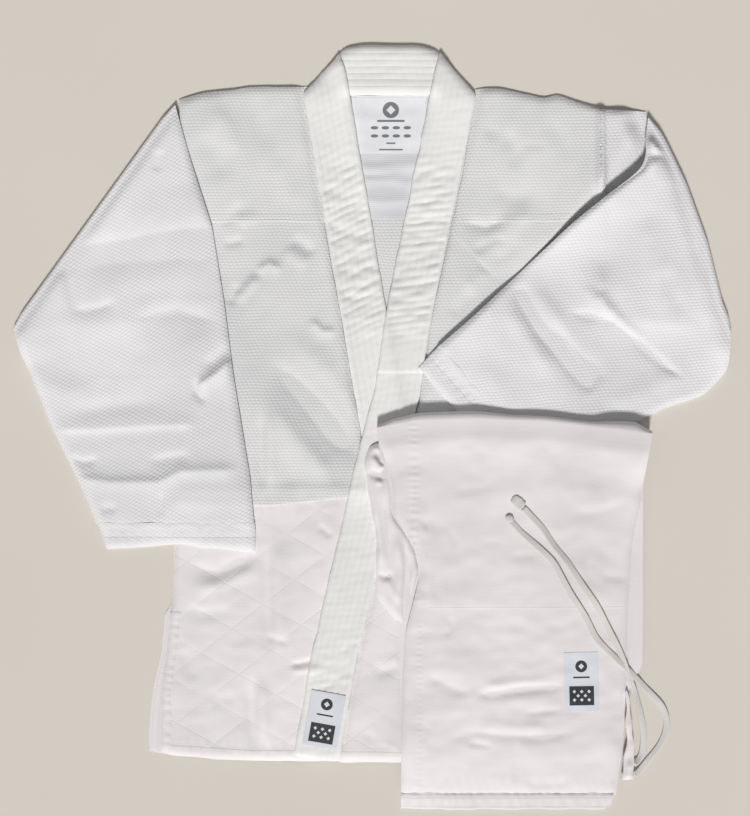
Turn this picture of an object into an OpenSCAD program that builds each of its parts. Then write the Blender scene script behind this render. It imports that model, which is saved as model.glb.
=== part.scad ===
// Judo-style training uniform: a jacket laid flat, left side over right, with its sleeves folded
// down, and trousers folded at the knee lying on its lower right.
// X runs across the jacket, Y from hem to collar, Z up from the table. Origin: centre of the
// outline on the table. "Right" and "left" are the wearer's, so the right sleeve lies at -X.

/* [Cloth] */
// Thickness of the jacket's rice-grain weave
weave_t = 1.6; // [1.2:0.1:1.7]
// Thickness of the jacket's quilted skirt
skirt_t = 1.2; // [0.8:0.1:1.6]
// Thickness of the stitched lapel band
band_t = 4; // [2.5:0.1:4]
// Thickness of the trouser cotton
cotton_t = 0.8; // [0.5:0.1:0.8]
// Thickness of a knee patch
patch_t = 0.6; // [0.3:0.1:0.6]
// Thickness of a sewn label
label_t = 0.4; // [0.2:0.1:0.5]

/* [Jacket] */
// Width of the lapel band
lapel_w = 50; // [40:1:55]
// Height of the seam between the body and the skirt
waist_y = -80; // [-100:1:-60]
// Lower edge of the shoulder patches
patch_y = 225; // [200:1:260]
// Width of the facing beside each side vent
facing_w = 12; // [8:1:16]
// Size of the lapel label
lapel_label = [38, 60]; // [20:1:60]

/* [Trousers] */
// Lower edge of the knee patches
knee_patch_y = -198; // [-230:1:-150]
// Depth of the waistband casing
casing_h = 15; // [12:1:30]
// Depth of the hems at the trouser cuffs
leg_hem_h = 25; // [15:1:35]
// Size of the trouser label
trouser_label = [38, 65]; // [20:1:60]

/* [Drawstring] */
// Width of the flat drawstring
string_w = 8; // [6:0.5:9]
// Thickness of the flat drawstring
string_t = 2; // [1:0.1:2]

/* [Hidden] */
// Clear space between plies, and between pieces that move apart
gap = 0.3;
// Space left at a sewn seam between two panels at one level
seam = 0.3;
// Room between the neck label and the front laid over it
label_room = 0.2;
// Thickness of the lining, of a shoulder patch and of a vent facing
lining_t = 0.5;
shoulder_patch_t = 0.8;
facing_t = 0.6;
// Cloth left round the channel of the waistband casing, at its edges and at its faces
casing_edge = 3;
casing_skin = 1.2;
// The knot and the folded tab at the drawstring's ends
knot_r = 4;
knot_h = 3;
tab = [14, 18];
// Half the width and the height of a block that takes in the whole outline
reach = 500;
tall = 60;

// Levels, from the table up. A folded stack is even about its hinge, so that it opens flat.
lining_z = weave_t;
neck_label_z = lining_z + lining_t;
front_z = neck_label_z + label_t + label_room;
over_z = front_z + band_t + gap;
right_stack = [5.4, 5.4 + weave_t + gap];
left_stack = [over_z + band_t + gap, over_z + band_t + weave_t + 2 * gap];
root_stack = [0, weave_t + gap];
legs_z = left_stack[1] + weave_t + gap;
ply_step = cotton_t + gap;
legs_stack = [for (i = [0:3]) legs_z + patch_t + i * ply_step];
waist_z = legs_stack[3] + cotton_t + patch_t + gap + patch_t;
waist_stack = [for (i = [0:3]) waist_z + i * ply_step];
top_z = waist_stack[3] + cotton_t;

// The left front lies over the right lapel near the middle, and comes down towards its side.
left_levels = [[-reach, over_z], [125, over_z], [165, front_z], [reach, front_z]];

// Outlines of the jacket, from the neck round each side
right_shoulder = [[-82, 374], [-135, 373], [-190, 366], [-213, 358]];
left_shoulder = [[118, 370], [136, 372], [189, 360], [202, 364], [249, 350]];
right_side = [[-215, 112], [-217, -129], [-221, -192]];
left_side = [[249, 112], [251, -129], [255, -192]];
right_vent_edge = [[-223, -203], [-227, -247], [-233, -289], [-234, -357]];
left_vent_edge = [[256, -203], [258, -247], [260, -289], [262, -357]];
right_back_vent = [[-229, -203], [-233, -247], [-241, -279], [-246, -321], [-247, -356]];
left_back_vent = [[257, -203], [259, -247], [262, -289], [264, -356]];

// Inner edges of the lapels, from the back of the neck to the hem
right_lapel_edge = [[-31, 392], [14, 129], [36, -3], [58, -100], [92, -243], [112, -359]];
left_lapel_edge = [[67, 388], [14, 129], [2, 45], [-24, -56], [-33, -100], [-67, -243], [-87, -359]];

// Sleeve outlines. The root ends at the fold, and the lower sleeve starts there.
right_root = [[-215.5, 353], [-391.5, 114], [-391, 112], [-215.5, 112]];
right_lower = [
    [-213.5, 356], [-392.5, 113], [-395, 104], [-388, 82], [-378, 61], [-354, 2], [-322, -63],
    [-303.6, -106.7], [-130.7, -106.7], [-135, -57], [-144, -2], [-154, 60], [-164, 139],
    [-177, 220], [-200, 291]
];
right_cuff = [[-303.4, -107], [-293, -134], [-254, -132], [-216, -128], [-130, -137], [-130.6, -107]];
left_root = [
    [249.5, 349], [300, 346], [321, 317], [344, 270], [368, 204], [384, 137], [391, 104], [249.5, 112]
];
left_lower = [
    [300, 346], [296, 305], [301, 294], [296, 284], [256, 254], [216, 222], [160, 169], [109, 121],
    [70, 87.6], [187.4, -42.8], [296, 9], [322, 22], [362, 34], [389, 62], [395, 102], [384.5, 137],
    [368.5, 204], [344.5, 270], [321, 317]
];
left_cuff = [[49, 65], [159, -57], [187, -43.2], [69.7, 87.2]];

// Trouser outlines, folded at the knee. The waist half lies on the leg half.
knee_edge = [[2, 5], [50, 13], [111, 15], [188, 12], [250, 5], [306, -2]];
waist_right = [[298, -37], [293, -82], [283, -128], [279, -191], [277, -258], [274, -349], [266, -403.5]];
waist_left = [[30, -403.5], [31, -280], [35, -224], [52, -156], [46, -132], [23, -96], [19, -53], [7, -18]];
casing = [[30, -404], [30, -404 - casing_h], [254, -404 - casing_h], [265.8, -404]];
legs_right = [[300, -2], [296, -37], [296, -262], [284, -285], [270, -300], [263.5, -391.5]];
legs_left = [[33, -391.5], [30, -300], [26, -200], [12, -150], [10, -60]];
leg_hem = [[33, -392], [34, -392 - leg_hem_h], [262, -392 - leg_hem_h], [263.4, -392]];
gusset_outline = [
    [6.5, -18], [-4, -22], [-9, -36], [-7, -60], [2, -110], [2, -165], [5, -185], [28, -214], [34, -224],
    [51.5, -156], [45.5, -132], [22.5, -96], [18.5, -53]
];
patch_outline = [
    [60, knee_patch_y], [275, knee_patch_y], [279, -128], [288, -82], [292, -37], [298, -4],
    [250, 2], [188, 9], [111, 12], [60, 11]
];
gather_outline = [[277, -288], [280, -300], [284, -335], [285, -386], [272, -386], [277, -340]];

// Routes of the drawstring's two ends, from the gathered corner of the waistband
top_line = top_z + patch_t + gap + string_t / 2;
string_a = [
    [285.6, -381, 22.5], [290, -381, 21], [296, -373, 15], [304, -363, 7], [314, -351, 2.5], [321, -337, 1.5],
    [323, -322, 1.5], [318, -307, 4], [309, -297, 11], [299, -287, 20], [287, -274, 28],
    [275, -262, 30.5], [260, -248, 29.5], [243, -231, top_line], [231, -206, top_line],
    [214, -180, top_line], [196, -146, top_line], [177, -128, top_line], [160, -114, top_line],
    [150, -102, top_line]
];
string_b = [
    [285.6, -369, 22.5], [290, -368, 21], [295, -360, 14], [297, -345, 7], [296, -328, 6], [293, -312, 10],
    [289, -297, 17], [284, -283, 24.5], [278, -268, 27.4], [268, -242, top_line],
    [256, -219, top_line], [243, -193, top_line], [229, -174, top_line], [212, -147, top_line],
    [196, -128, top_line], [185, -110, top_line], [168, -93, top_line]
];

body_white = "#dededd";
band_white = "#e6e4e0";
skirt_white = "#e7e3e2";
trouser_white = "#e7e2e3";
label_grey = "#cfd1d8";

function reversed(list) = [for (i = [len(list) - 1:-1:0]) list[i]];
function unit(v) = v / norm(v);
function heading(line, i) = unit(line[min(i + 1, len(line) - 1)] - line[max(i - 1, 0)]);
// A line of points moved sideways, to the left of its heading where distance is positive
function beside(line, distance) = [
    for (i = [0:len(line) - 1]) line[i] + distance * [-heading(line, i)[1], heading(line, i)[0]]
];

right_seam = beside(right_lapel_edge, -lapel_w - seam);
left_seam = beside(left_lapel_edge, lapel_w + seam);
right_front = concat(
    right_shoulder, right_side, right_vent_edge, [[-223, -361], [-133, -367], [60, -367]],
    reversed([for (p = right_seam) if (p[1] < 366) p])
);
left_front = concat(
    left_shoulder, left_side, left_vent_edge, [[250, -364], [29, -368], [-36, -367.5]],
    reversed([for (p = left_seam) if (p[1] < 366) p])
);

// A flat piece of cloth
module ply(outline, z, t) {
    translate([0, 0, z])
        linear_extrude(t)
            polygon(outline);
}

// The part of its children between two heights of the outline
module between(y_low, y_high) {
    intersection() {
        children();
        translate([-reach, y_low, -1])
            cube([2 * reach, y_high - y_low, tall]);
    }
}

// A piece of cloth whose underside follows levels, a list of [x, z]
module draped(outline, levels, lift, t) {
    lower = [for (p = levels) [p[0], p[1] + lift]];
    upper = [for (p = reversed(levels)) [p[0], p[1] + lift + t]];
    intersection() {
        ply(outline, -1, tall);
        rotate([90, 0, 0])
            translate([0, 0, -reach])
                linear_extrude(2 * reach)
                    polygon(concat(lower, upper));
    }
}

// A hem that closes two plies of a tube, pressed flat
module hem(outline, z, t) {
    ply(outline, z, 2 * t + gap);
}

// A flat ribbon swept along a route, square to it at every point
module ribbon(route) {
    last = len(route) - 1;
    sides = 8;
    rings = [
        for (i = [0:last])
            let (along = heading(route, i), across = unit(cross([0, 0, 1], along)), up = cross(along, across))
                for (k = [0:sides - 1])
                    let (turn = 360 * (k + 0.5) / sides)
                        route[i] + across * cos(turn) * string_w / 2 + up * sin(turn) * string_t / 2
    ];
    walls = [
        for (i = [0:last - 1], k = [0:sides - 1])
            let (a = i * sides + k, b = i * sides + (k + 1) % sides)
                [a, a + sides, b + sides, b]
    ];
    start_cap = [for (k = [0:sides - 1]) k];
    end_cap = [for (k = [sides - 1:-1:0]) last * sides + k];
    polyhedron(rings, concat(walls, [start_cap, end_cap]), convexity = 10);
}

module back_body() {
    outline = concat(
        right_shoulder, [[-215, 112], [-217, waist_y + seam]], [[251, waist_y + seam], [249, 112]],
        reversed(left_shoulder)
    );
    color(body_white) ply(outline, 0, weave_t);
}

module back_skirt() {
    outline = concat(
        [[-217, waist_y]], [right_side[2]], right_back_vent, [[-238, -359], [0, -362], [255, -359]],
        reversed(left_back_vent), [left_side[2]], [[251, waist_y]]
    );
    color(skirt_white) ply(outline, 0, skirt_t);
}

module neck_lining() {
    color(skirt_white) ply([[-60, 364], [94, 364], [84, 228], [-46, 228]], lining_z, lining_t);
}

module neck_label() {
    color(label_grey) ply([[-24, 362], [57, 362], [57, 300], [-24, 300]], neck_label_z, label_t);
}

module neck_band() {
    outline = [[-30, 419], [63.5, 419], [71, 412], [66, 389], [66, 364], [-25, 364], [-30, 393], [-38, 413]];
    color(band_white) ply(outline, front_z, band_t);
}

module right_front_body() {
    color(body_white) between(waist_y + seam, reach) ply(right_front, front_z, weave_t);
}

module right_front_skirt() {
    color(skirt_white) between(-reach, waist_y) ply(right_front, front_z, skirt_t);
}

module right_lapel() {
    outline = concat([[-39, 411.5]], right_lapel_edge, reversed(beside(right_lapel_edge, -lapel_w)));
    color(band_white) ply(outline, front_z, band_t);
}

module right_shoulder_patch() {
    outline = [
        [-82, 370], [-135, 370], [-190, 363], [-211, 356], [-211, patch_y], [-57, patch_y]
    ];
    color(body_white) ply(outline, front_z + weave_t, shoulder_patch_t);
}

// A facing strip along a vent's edge; inward is the side that it lies on
module vent_facing(edge, inward, levels) {
    outline = concat(edge, reversed([for (p = edge) p + [inward * facing_w, 0]]));
    color(skirt_white) draped(outline, levels, skirt_t, facing_t);
}

module right_vent_facing() {
    vent_facing(right_vent_edge, 1, [[-reach, front_z], [reach, front_z]]);
}

module left_front_body() {
    color(body_white) between(waist_y + seam, reach) draped(left_front, left_levels, 0, weave_t);
}

module left_front_skirt() {
    color(skirt_white) between(-reach, waist_y) draped(left_front, left_levels, 0, skirt_t);
}

module left_lapel() {
    outline = concat([[73, 411.5]], left_lapel_edge, reversed(beside(left_lapel_edge, lapel_w)));
    color(band_white) ply(outline, over_z, band_t);
}

module left_shoulder_patch() {
    outline = [
        [118, 367], [136, 369], [189, 357], [202, 361], [246, 348], [246, patch_y], [96, patch_y]
    ];
    color(body_white) draped(outline, left_levels, weave_t, shoulder_patch_t);
}

module left_vent_facing() {
    vent_facing(left_vent_edge, -1, left_levels);
}

module lapel_label() {
    color(label_grey)
        translate([-54, -320, over_z + band_t])
            rotate([0, 0, -10])
                translate([-lapel_label[0] / 2, -lapel_label[1] / 2, 0])
                    cube([lapel_label[0], lapel_label[1], label_t]);
}

module right_sleeve_root_back() {
    color(body_white) ply(right_root, root_stack[0], weave_t);
}

module right_sleeve_root_front() {
    color(body_white) ply(right_root, root_stack[1], weave_t);
}

module right_sleeve_front() {
    color(body_white) ply(right_lower, right_stack[0], weave_t);
}

module right_sleeve_back() {
    color(body_white) ply(right_lower, right_stack[1], weave_t);
}

module right_cuff_hem() {
    color(body_white) hem(right_cuff, right_stack[0], weave_t);
}

module left_sleeve_root_back() {
    color(body_white) ply(left_root, root_stack[0], weave_t);
}

module left_sleeve_root_front() {
    color(body_white) ply(left_root, root_stack[1], weave_t);
}

module left_sleeve_front() {
    color(body_white) ply(left_lower, left_stack[0], weave_t);
}

module left_sleeve_back() {
    color(body_white) ply(left_lower, left_stack[1], weave_t);
}

module left_cuff_hem() {
    color(body_white) hem(left_cuff, left_stack[0], weave_t);
}

// One ply of the trousers below the knee, and one above it
module leg_ply(level) {
    outline = concat([for (p = knee_edge) if (p[0] < 300) p - [0, 1]], legs_right, legs_left);
    color(trouser_white) ply(outline, legs_stack[level], cotton_t);
}

module thigh_ply(level) {
    color(trouser_white) ply(concat(knee_edge, waist_right, waist_left), waist_stack[level], cotton_t);
}

module left_leg_front() {
    leg_ply(0);
}

module left_leg_back() {
    leg_ply(1);
}

module right_leg_back() {
    leg_ply(2);
}

module right_leg_front() {
    leg_ply(3);
}

module left_leg_hem() {
    color(trouser_white) hem(leg_hem, legs_stack[0], cotton_t);
}

module right_leg_hem() {
    color(trouser_white) hem(leg_hem, legs_stack[2], cotton_t);
}

module knee_patch(z) {
    color(trouser_white) ply(patch_outline, z, patch_t);
}

module left_knee_patch_lower() {
    knee_patch(legs_z);
}

module right_knee_patch_lower() {
    knee_patch(legs_stack[3] + cotton_t);
}

module right_thigh_front() {
    thigh_ply(0);
}

module right_thigh_back() {
    thigh_ply(1);
}

module left_thigh_back() {
    thigh_ply(2);
}

module left_thigh_front() {
    thigh_ply(3);
}

module right_knee_patch_upper() {
    knee_patch(waist_z - patch_t);
}

module left_knee_patch_upper() {
    knee_patch(top_z);
}

// The casing round the waist, with the channel that the drawstring runs in
module waistband() {
    low = casing[1];
    color(trouser_white)
        difference() {
            ply(casing, waist_z, top_z - waist_z);
            translate([low[0] - 10, low[1] + casing_edge, waist_z + casing_skin])
                cube([260, casing_h - 2 * casing_edge, top_z - waist_z - 2 * casing_skin]);
        }
}

module crotch_gusset() {
    color(trouser_white) ply(gusset_outline, waist_z - patch_t, 3 * ply_step);
}

module side_slit_gather() {
    color(trouser_white) ply(gather_outline, waist_z - patch_t, 3 * ply_step);
}

module trouser_label() {
    color(label_grey)
        translate([227, -278, top_z])
            rotate([0, 0, 1])
                translate([-trouser_label[0] / 2, -trouser_label[1] / 2, 0])
                    cube([trouser_label[0], trouser_label[1], label_t]);
}

module drawstring_long_end() {
    color(band_white) ribbon(string_a);
}

module drawstring_short_end() {
    color(band_white) ribbon(string_b);
}

module drawstring_knot() {
    color(band_white)
        translate([146.6, -97.8, top_z + patch_t + gap])
            cylinder(h = knot_h, r = knot_r, $fn = 32);
}

module drawstring_tab() {
    color(band_white)
        translate([160.5, -85.5, top_z + patch_t + gap])
            rotate([0, 0, 47])
                translate([-tab[0] / 2, -1, 0])
                    cube([tab[0], tab[1], string_t]);
}

back_body();
back_skirt();
neck_lining();
neck_label();
neck_band();
right_front_body();
right_front_skirt();
right_lapel();
right_shoulder_patch();
right_vent_facing();
left_front_body();
left_front_skirt();
left_lapel();
left_shoulder_patch();
left_vent_facing();
lapel_label();
right_sleeve_root_back();
right_sleeve_root_front();
right_sleeve_front();
right_sleeve_back();
right_cuff_hem();
left_sleeve_root_back();
left_sleeve_root_front();
left_sleeve_front();
left_sleeve_back();
left_cuff_hem();
left_leg_front();
left_leg_back();
right_leg_back();
right_leg_front();
left_leg_hem();
right_leg_hem();
left_knee_patch_lower();
right_knee_patch_lower();
right_thigh_front();
right_thigh_back();
left_thigh_back();
left_thigh_front();
right_knee_patch_upper();
left_knee_patch_upper();
waistband();
crotch_gusset();
side_slit_gather();
trouser_label();
drawstring_long_end();
drawstring_short_end();
drawstring_knot();
drawstring_tab();
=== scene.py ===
import math

import bmesh
import bpy
import numpy as np
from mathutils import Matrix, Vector
from mathutils.geometry import delaunay_2d_cdt


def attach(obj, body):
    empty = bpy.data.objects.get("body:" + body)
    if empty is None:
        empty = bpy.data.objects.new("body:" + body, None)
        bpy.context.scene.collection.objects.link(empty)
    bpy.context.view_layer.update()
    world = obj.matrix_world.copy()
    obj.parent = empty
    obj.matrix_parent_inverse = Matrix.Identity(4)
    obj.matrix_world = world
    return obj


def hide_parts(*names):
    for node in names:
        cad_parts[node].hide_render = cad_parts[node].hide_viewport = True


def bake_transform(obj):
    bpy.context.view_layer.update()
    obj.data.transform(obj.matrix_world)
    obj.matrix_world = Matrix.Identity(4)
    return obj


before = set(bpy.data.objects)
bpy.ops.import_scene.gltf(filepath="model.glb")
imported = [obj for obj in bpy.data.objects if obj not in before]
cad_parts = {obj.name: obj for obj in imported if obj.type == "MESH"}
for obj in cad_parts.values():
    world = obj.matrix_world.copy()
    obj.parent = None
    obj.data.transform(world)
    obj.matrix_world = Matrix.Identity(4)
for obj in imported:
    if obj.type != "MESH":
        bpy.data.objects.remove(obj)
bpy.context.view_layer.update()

MM = 0.001


def mm(points):
    """Points given in millimetres, as an array in metres."""
    return np.array(points, float) * MM


# ---------------------------------------------------------------- camera
def make_camera():
    """A camera that looks straight down, with its top along +Y."""
    data = bpy.data.cameras.new("camera")
    distance, long_side = 2.0, 0.8976
    data.lens = data.sensor_width * distance / long_side
    data.clip_start, data.clip_end = 0.05, 20
    camera = bpy.data.objects.new("camera", data)
    camera.location = (0.0016, 0.021, distance)
    bpy.context.scene.collection.objects.link(camera)
    bpy.context.scene.camera = camera


make_camera()

# Routes of the drawstring's two ends, as in part.scad
T = 27.3  # the height of the trousers' top
ROUTE_LONG = mm([
    (285.6, -381, 22.5), (290, -381, 21), (296, -373, 15), (304, -363, 7), (314, -351, 2.5), (321, -337, 1.5),
    (323, -322, 1.5), (318, -307, 4), (309, -297, 11), (299, -287, 20), (287, -274, 28),
    (275, -262, 30.5), (260, -248, 29.5), (243, -231, T), (231, -206, T),
    (214, -180, T), (196, -146, T), (177, -128, T), (160, -114, T), (150, -102, T)])
ROUTE_SHORT = mm([
    (285.6, -369, 22.5), (290, -368, 21), (295, -360, 14), (297, -345, 7), (296, -328, 6), (293, -312, 10),
    (289, -297, 17), (284, -283, 24.5), (278, -268, 27.4), (268, -242, T),
    (256, -219, T), (243, -193, T), (229, -174, T), (212, -147, T),
    (196, -128, T), (185, -110, T), (171, -96, T), (163.4, -87.8, T)])

# ---------------------------------------------------------------- height maps
CELL = 0.002
GX = np.arange(-0.43, 0.4301, CELL)
GY = np.arange(-0.45, 0.4501, CELL)
RX, RY = np.meshgrid(GX, GY)


def blur(a, sigma):
    """A height map smoothed over sigma metres."""
    reach = max(1, int(3 * sigma / CELL))
    w = np.exp(-0.5 * (np.arange(-reach, reach + 1) * CELL / sigma) ** 2)
    w /= w.sum()
    for axis in (0, 1):
        pad = [(0, 0), (0, 0)]
        pad[axis] = (reach, reach)
        p = np.pad(a, pad, mode="edge")
        n = a.shape[axis]
        a = sum(wi * (p[i:i + n, :] if axis == 0 else p[:, i:i + n]) for i, wi in enumerate(w))
    return a


def sample(field, x, y):
    """A height map's value at points, by bilinear interpolation."""
    fx = np.clip((x - GX[0]) / CELL, 0, len(GX) - 1.001)
    fy = np.clip((y - GY[0]) / CELL, 0, len(GY) - 1.001)
    ix, iy = fx.astype(int), fy.astype(int)
    tx, ty = fx - ix, fy - iy
    return (field[iy, ix] * (1 - tx) * (1 - ty) + field[iy, ix + 1] * tx * (1 - ty)
            + field[iy + 1, ix] * (1 - tx) * ty + field[iy + 1, ix + 1] * tx * ty)


def inside(px, py, loop):
    """Which points lie inside a closed loop."""
    res = np.zeros(px.shape, bool)
    for (x0, y0), (x1, y1) in zip(loop, np.roll(loop, -1, 0)):
        if y0 == y1:
            continue
        res ^= ((y0 > py) != (y1 > py)) & (px < (x1 - x0) * (py - y0) / (y1 - y0) + x0)
    return res


def coverage(loop):
    """How much of each cell of the height map an anticlockwise loop covers, from 0 to 1."""
    res = np.zeros(RX.shape)
    for sub in (-0.375, -0.125, 0.125, 0.375):
        ys = GY + sub * CELL
        for (x0, y0), (x1, y1) in zip(loop, np.roll(loop, -1, 0)):
            a, b = np.searchsorted(ys, [min(y0, y1), max(y0, y1)])
            if a == b:
                continue
            at = (x1 - x0) * (ys[a:b] - y0) / (y1 - y0) + x0
            part = np.clip((at[:, None] - GX[None, :]) / CELL + 0.5, 0, 1)
            res[a:b] += part if y1 > y0 else -part
    return np.clip(res / 4, 0, 1)


def near(px, py, line, closed=False):
    """Distance to a line, the side that a point is on (+ is left), and how far along its nearest point is."""
    best = np.full(px.shape, 1e9)
    side = np.ones(px.shape)
    along = np.zeros(px.shape)
    pts = np.vstack([line, line[:1]]) if closed else line
    run = 0.0
    for a, b in zip(pts[:-1], pts[1:]):
        d = b - a
        length = math.hypot(*d)
        if length < 1e-9:
            continue
        qx, qy = px - a[0], py - a[1]
        t = np.clip((qx * d[0] + qy * d[1]) / length ** 2, 0, 1)
        dist = np.hypot(qx - t * d[0], qy - t * d[1])
        m = dist < best
        best = np.where(m, dist, best)
        side = np.where(m, np.where(d[0] * qy - d[1] * qx >= 0, 1.0, -1.0), side)
        along = np.where(m, run + t * length, along)
        run += length
    return best, side, along, run


def soft(t):
    """A smooth step from 0 to 1."""
    t = np.clip(t, 0, 1)
    return t * t * (3 - 2 * t)


def stroke(field, points, amp, left, right=None, power=2.0, fade=0.3):
    """Adds a crease or ridge along a line: amp high, left and right wide on its two sides, all in millimetres.
    points run x, y, x, y; fade is the share of the line over which each end dies away."""
    line, right = mm(points).reshape(-1, 2), left if right is None else right
    reach = 3.2 * max(left, right) * MM
    lo, hi = line.min(0) - reach, line.max(0) + reach
    x0, x1 = np.searchsorted(GX, [lo[0], hi[0]])
    y0, y1 = np.searchsorted(GY, [lo[1], hi[1]])
    part = np.s_[y0:y1, x0:x1]
    d, side, along, run = near(RX[part], RY[part], line)
    width = np.where(side > 0, left, right) * MM
    ends = soft(along / (fade * run)) * soft((run - along) / (fade * run)) if fade else 1.0
    field[part] += amp * MM * np.exp(-(d / width) ** power) * ends


def creases(field, rows):
    """Adds each row's stroke to a height map."""
    for row in rows:
        stroke(field, *row)


def rumple(seed, size, amp, stretch=1.0, angle=0.0):
    """Soft random folds: size and amp in millimetres, stretched along a direction."""
    rng = np.random.default_rng(seed)
    spectrum = np.fft.fft2(rng.standard_normal(RX.shape))
    fx, fy = np.meshgrid(np.fft.fftfreq(RX.shape[1], CELL), np.fft.fftfreq(RX.shape[0], CELL))
    c, s = math.cos(math.radians(angle)), math.sin(math.radians(angle))
    u, v = fx * c + fy * s, -fx * s + fy * c
    spectrum *= np.exp(-((u * size * MM * stretch) ** 2 + (v * size * MM) ** 2) * 4)
    out = np.real(np.fft.ifft2(spectrum))
    return out / out.std() * amp * MM


def pillow(loop, sigma=4.0):
    """0 at a piece's outline, rising to 1 inside it."""
    return np.clip(2 * blur(coverage(loop), sigma * MM) - 1, 0, 1)


heap = np.zeros_like(RX)  # the height of all that has been laid so far


def lay(loop, t, sag=7.0, relief=None, least=None, gap=0.15):
    """Lays a piece of cloth on the heap and gives the height of its middle, everywhere."""
    global heap
    h = heap
    for _ in range(2):
        h = np.maximum(heap, blur(h, sag * MM))
    h = np.maximum(blur(h, 2.2 * MM), blur(heap, 2.2 * MM))
    if least is not None:
        h = np.maximum(h, least)
        h = blur(h, 2.2 * MM)
    if relief is not None:
        h = h + relief
    middle = h + gap * MM + t / 2
    cover = np.clip(2 * blur(coverage(loop), 1.3 * MM), 0, 1)
    heap = heap + np.maximum(middle + t / 2 - heap, 0) * cover
    return middle


# ---------------------------------------------------------------- outlines
def outline(node):
    """The outline of a CAD node from above, as a closed loop running anticlockwise."""
    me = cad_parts[node].data
    key = [(round(v.co.x, 6), round(v.co.y, 6)) for v in me.vertices]
    count = {}
    for p in me.polygons:
        if p.normal.z < 0.5:
            continue
        ids = [key[i] for i in p.vertices]
        for a, b in zip(ids, ids[1:] + ids[:1]):
            if a == b:
                continue
            if (b, a) in count:
                del count[(b, a)]
            else:
                count[(a, b)] = True
    follow = {}
    for a, b in count:
        follow.setdefault(a, []).append(b)
    loops = []
    while follow:
        start = next(iter(follow))
        loop, at = [], start
        while at in follow:
            loop.append(at)
            nxt = follow[at].pop()
            if not follow[at]:
                del follow[at]
            at = nxt
        loops.append(np.array(loop))
    return max(loops, key=area_of)


def area_of(loop):
    """The signed area of a loop: positive where it runs anticlockwise."""
    x, y = loop[:, 0], loop[:, 1]
    return 0.5 * float(np.sum(x * np.roll(y, -1) - np.roll(x, -1) * y))


def resample(line, step, closed=False):
    """The line's own corners, with points between them no more than step apart."""
    pts = np.vstack([line, line[:1]]) if closed else np.asarray(line)
    out = []
    for a, b in zip(pts[:-1], pts[1:]):
        n = max(1, int(round(math.hypot(*(b - a)) / step)))
        out += [a + (b - a) * k / n for k in range(n)]
    if not closed:
        out.append(pts[-1])
    return np.array(out)


def rounded(loop, step, sharp=48.0, rounds=6, wave=0.0, seed=0):
    """A closed loop resampled, with its gentle corners rounded and its edge slightly wavy."""
    n = len(loop)
    before, after = np.roll(loop, 1, 0), np.roll(loop, -1, 0)
    a1 = np.arctan2(*(loop - before).T[::-1])
    a2 = np.arctan2(*(after - loop).T[::-1])
    turn = np.abs((np.degrees(a2 - a1) + 180) % 360 - 180)
    fixed = {tuple(np.round(loop[i], 7)) for i in range(n) if turn[i] > sharp}
    pts = resample(loop, step, True)
    pin = np.array([tuple(np.round(p, 7)) in fixed for p in pts])
    for _ in range(rounds):
        mid = 0.5 * pts + 0.25 * (np.roll(pts, 1, 0) + np.roll(pts, -1, 0))
        pts = np.where(pin[:, None], pts, mid)
    if wave:
        rng = np.random.default_rng(seed)
        noise = rng.standard_normal(len(pts))
        k = np.exp(-0.5 * (np.arange(-30, 31) * step / 0.006) ** 2)
        noise = np.convolve(np.concatenate([noise[-30:], noise, noise[:30]]), k, "valid")
        noise *= wave * MM / max(noise.std(), 1e-9)
        d = np.roll(pts, -1, 0) - np.roll(pts, 1, 0)
        normal = np.stack([d[:, 1], -d[:, 0]], 1) / np.maximum(np.hypot(d[:, 0], d[:, 1]), 1e-9)[:, None]
        pts = pts + normal * noise[:, None] * np.where(pin, 0, 1)[:, None]
    return pts


def clipped(loop, a, b):
    """The part of a loop that lies to the right of the line from a to b, given in millimetres."""
    a, b = mm([a, b])
    d = b - a
    side = d[0] * (loop[:, 1] - a[1]) - d[1] * (loop[:, 0] - a[0])
    out = []
    for i in range(len(loop)):
        j = (i + 1) % len(loop)
        if side[i] <= 0:
            out.append(loop[i])
        if (side[i] < 0) != (side[j] < 0):
            out.append(loop[i] + (loop[j] - loop[i]) * side[i] / (side[i] - side[j]))
    return np.array(out)


def shifted(line, distance):
    """A line moved sideways, to the left where distance is positive."""
    line = np.asarray(line, float)
    d = np.gradient(line, axis=0)
    d /= np.maximum(np.hypot(d[:, 0], d[:, 1]), 1e-9)[:, None]
    return line + distance * np.stack([-d[:, 1], d[:, 0]], 1)


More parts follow.
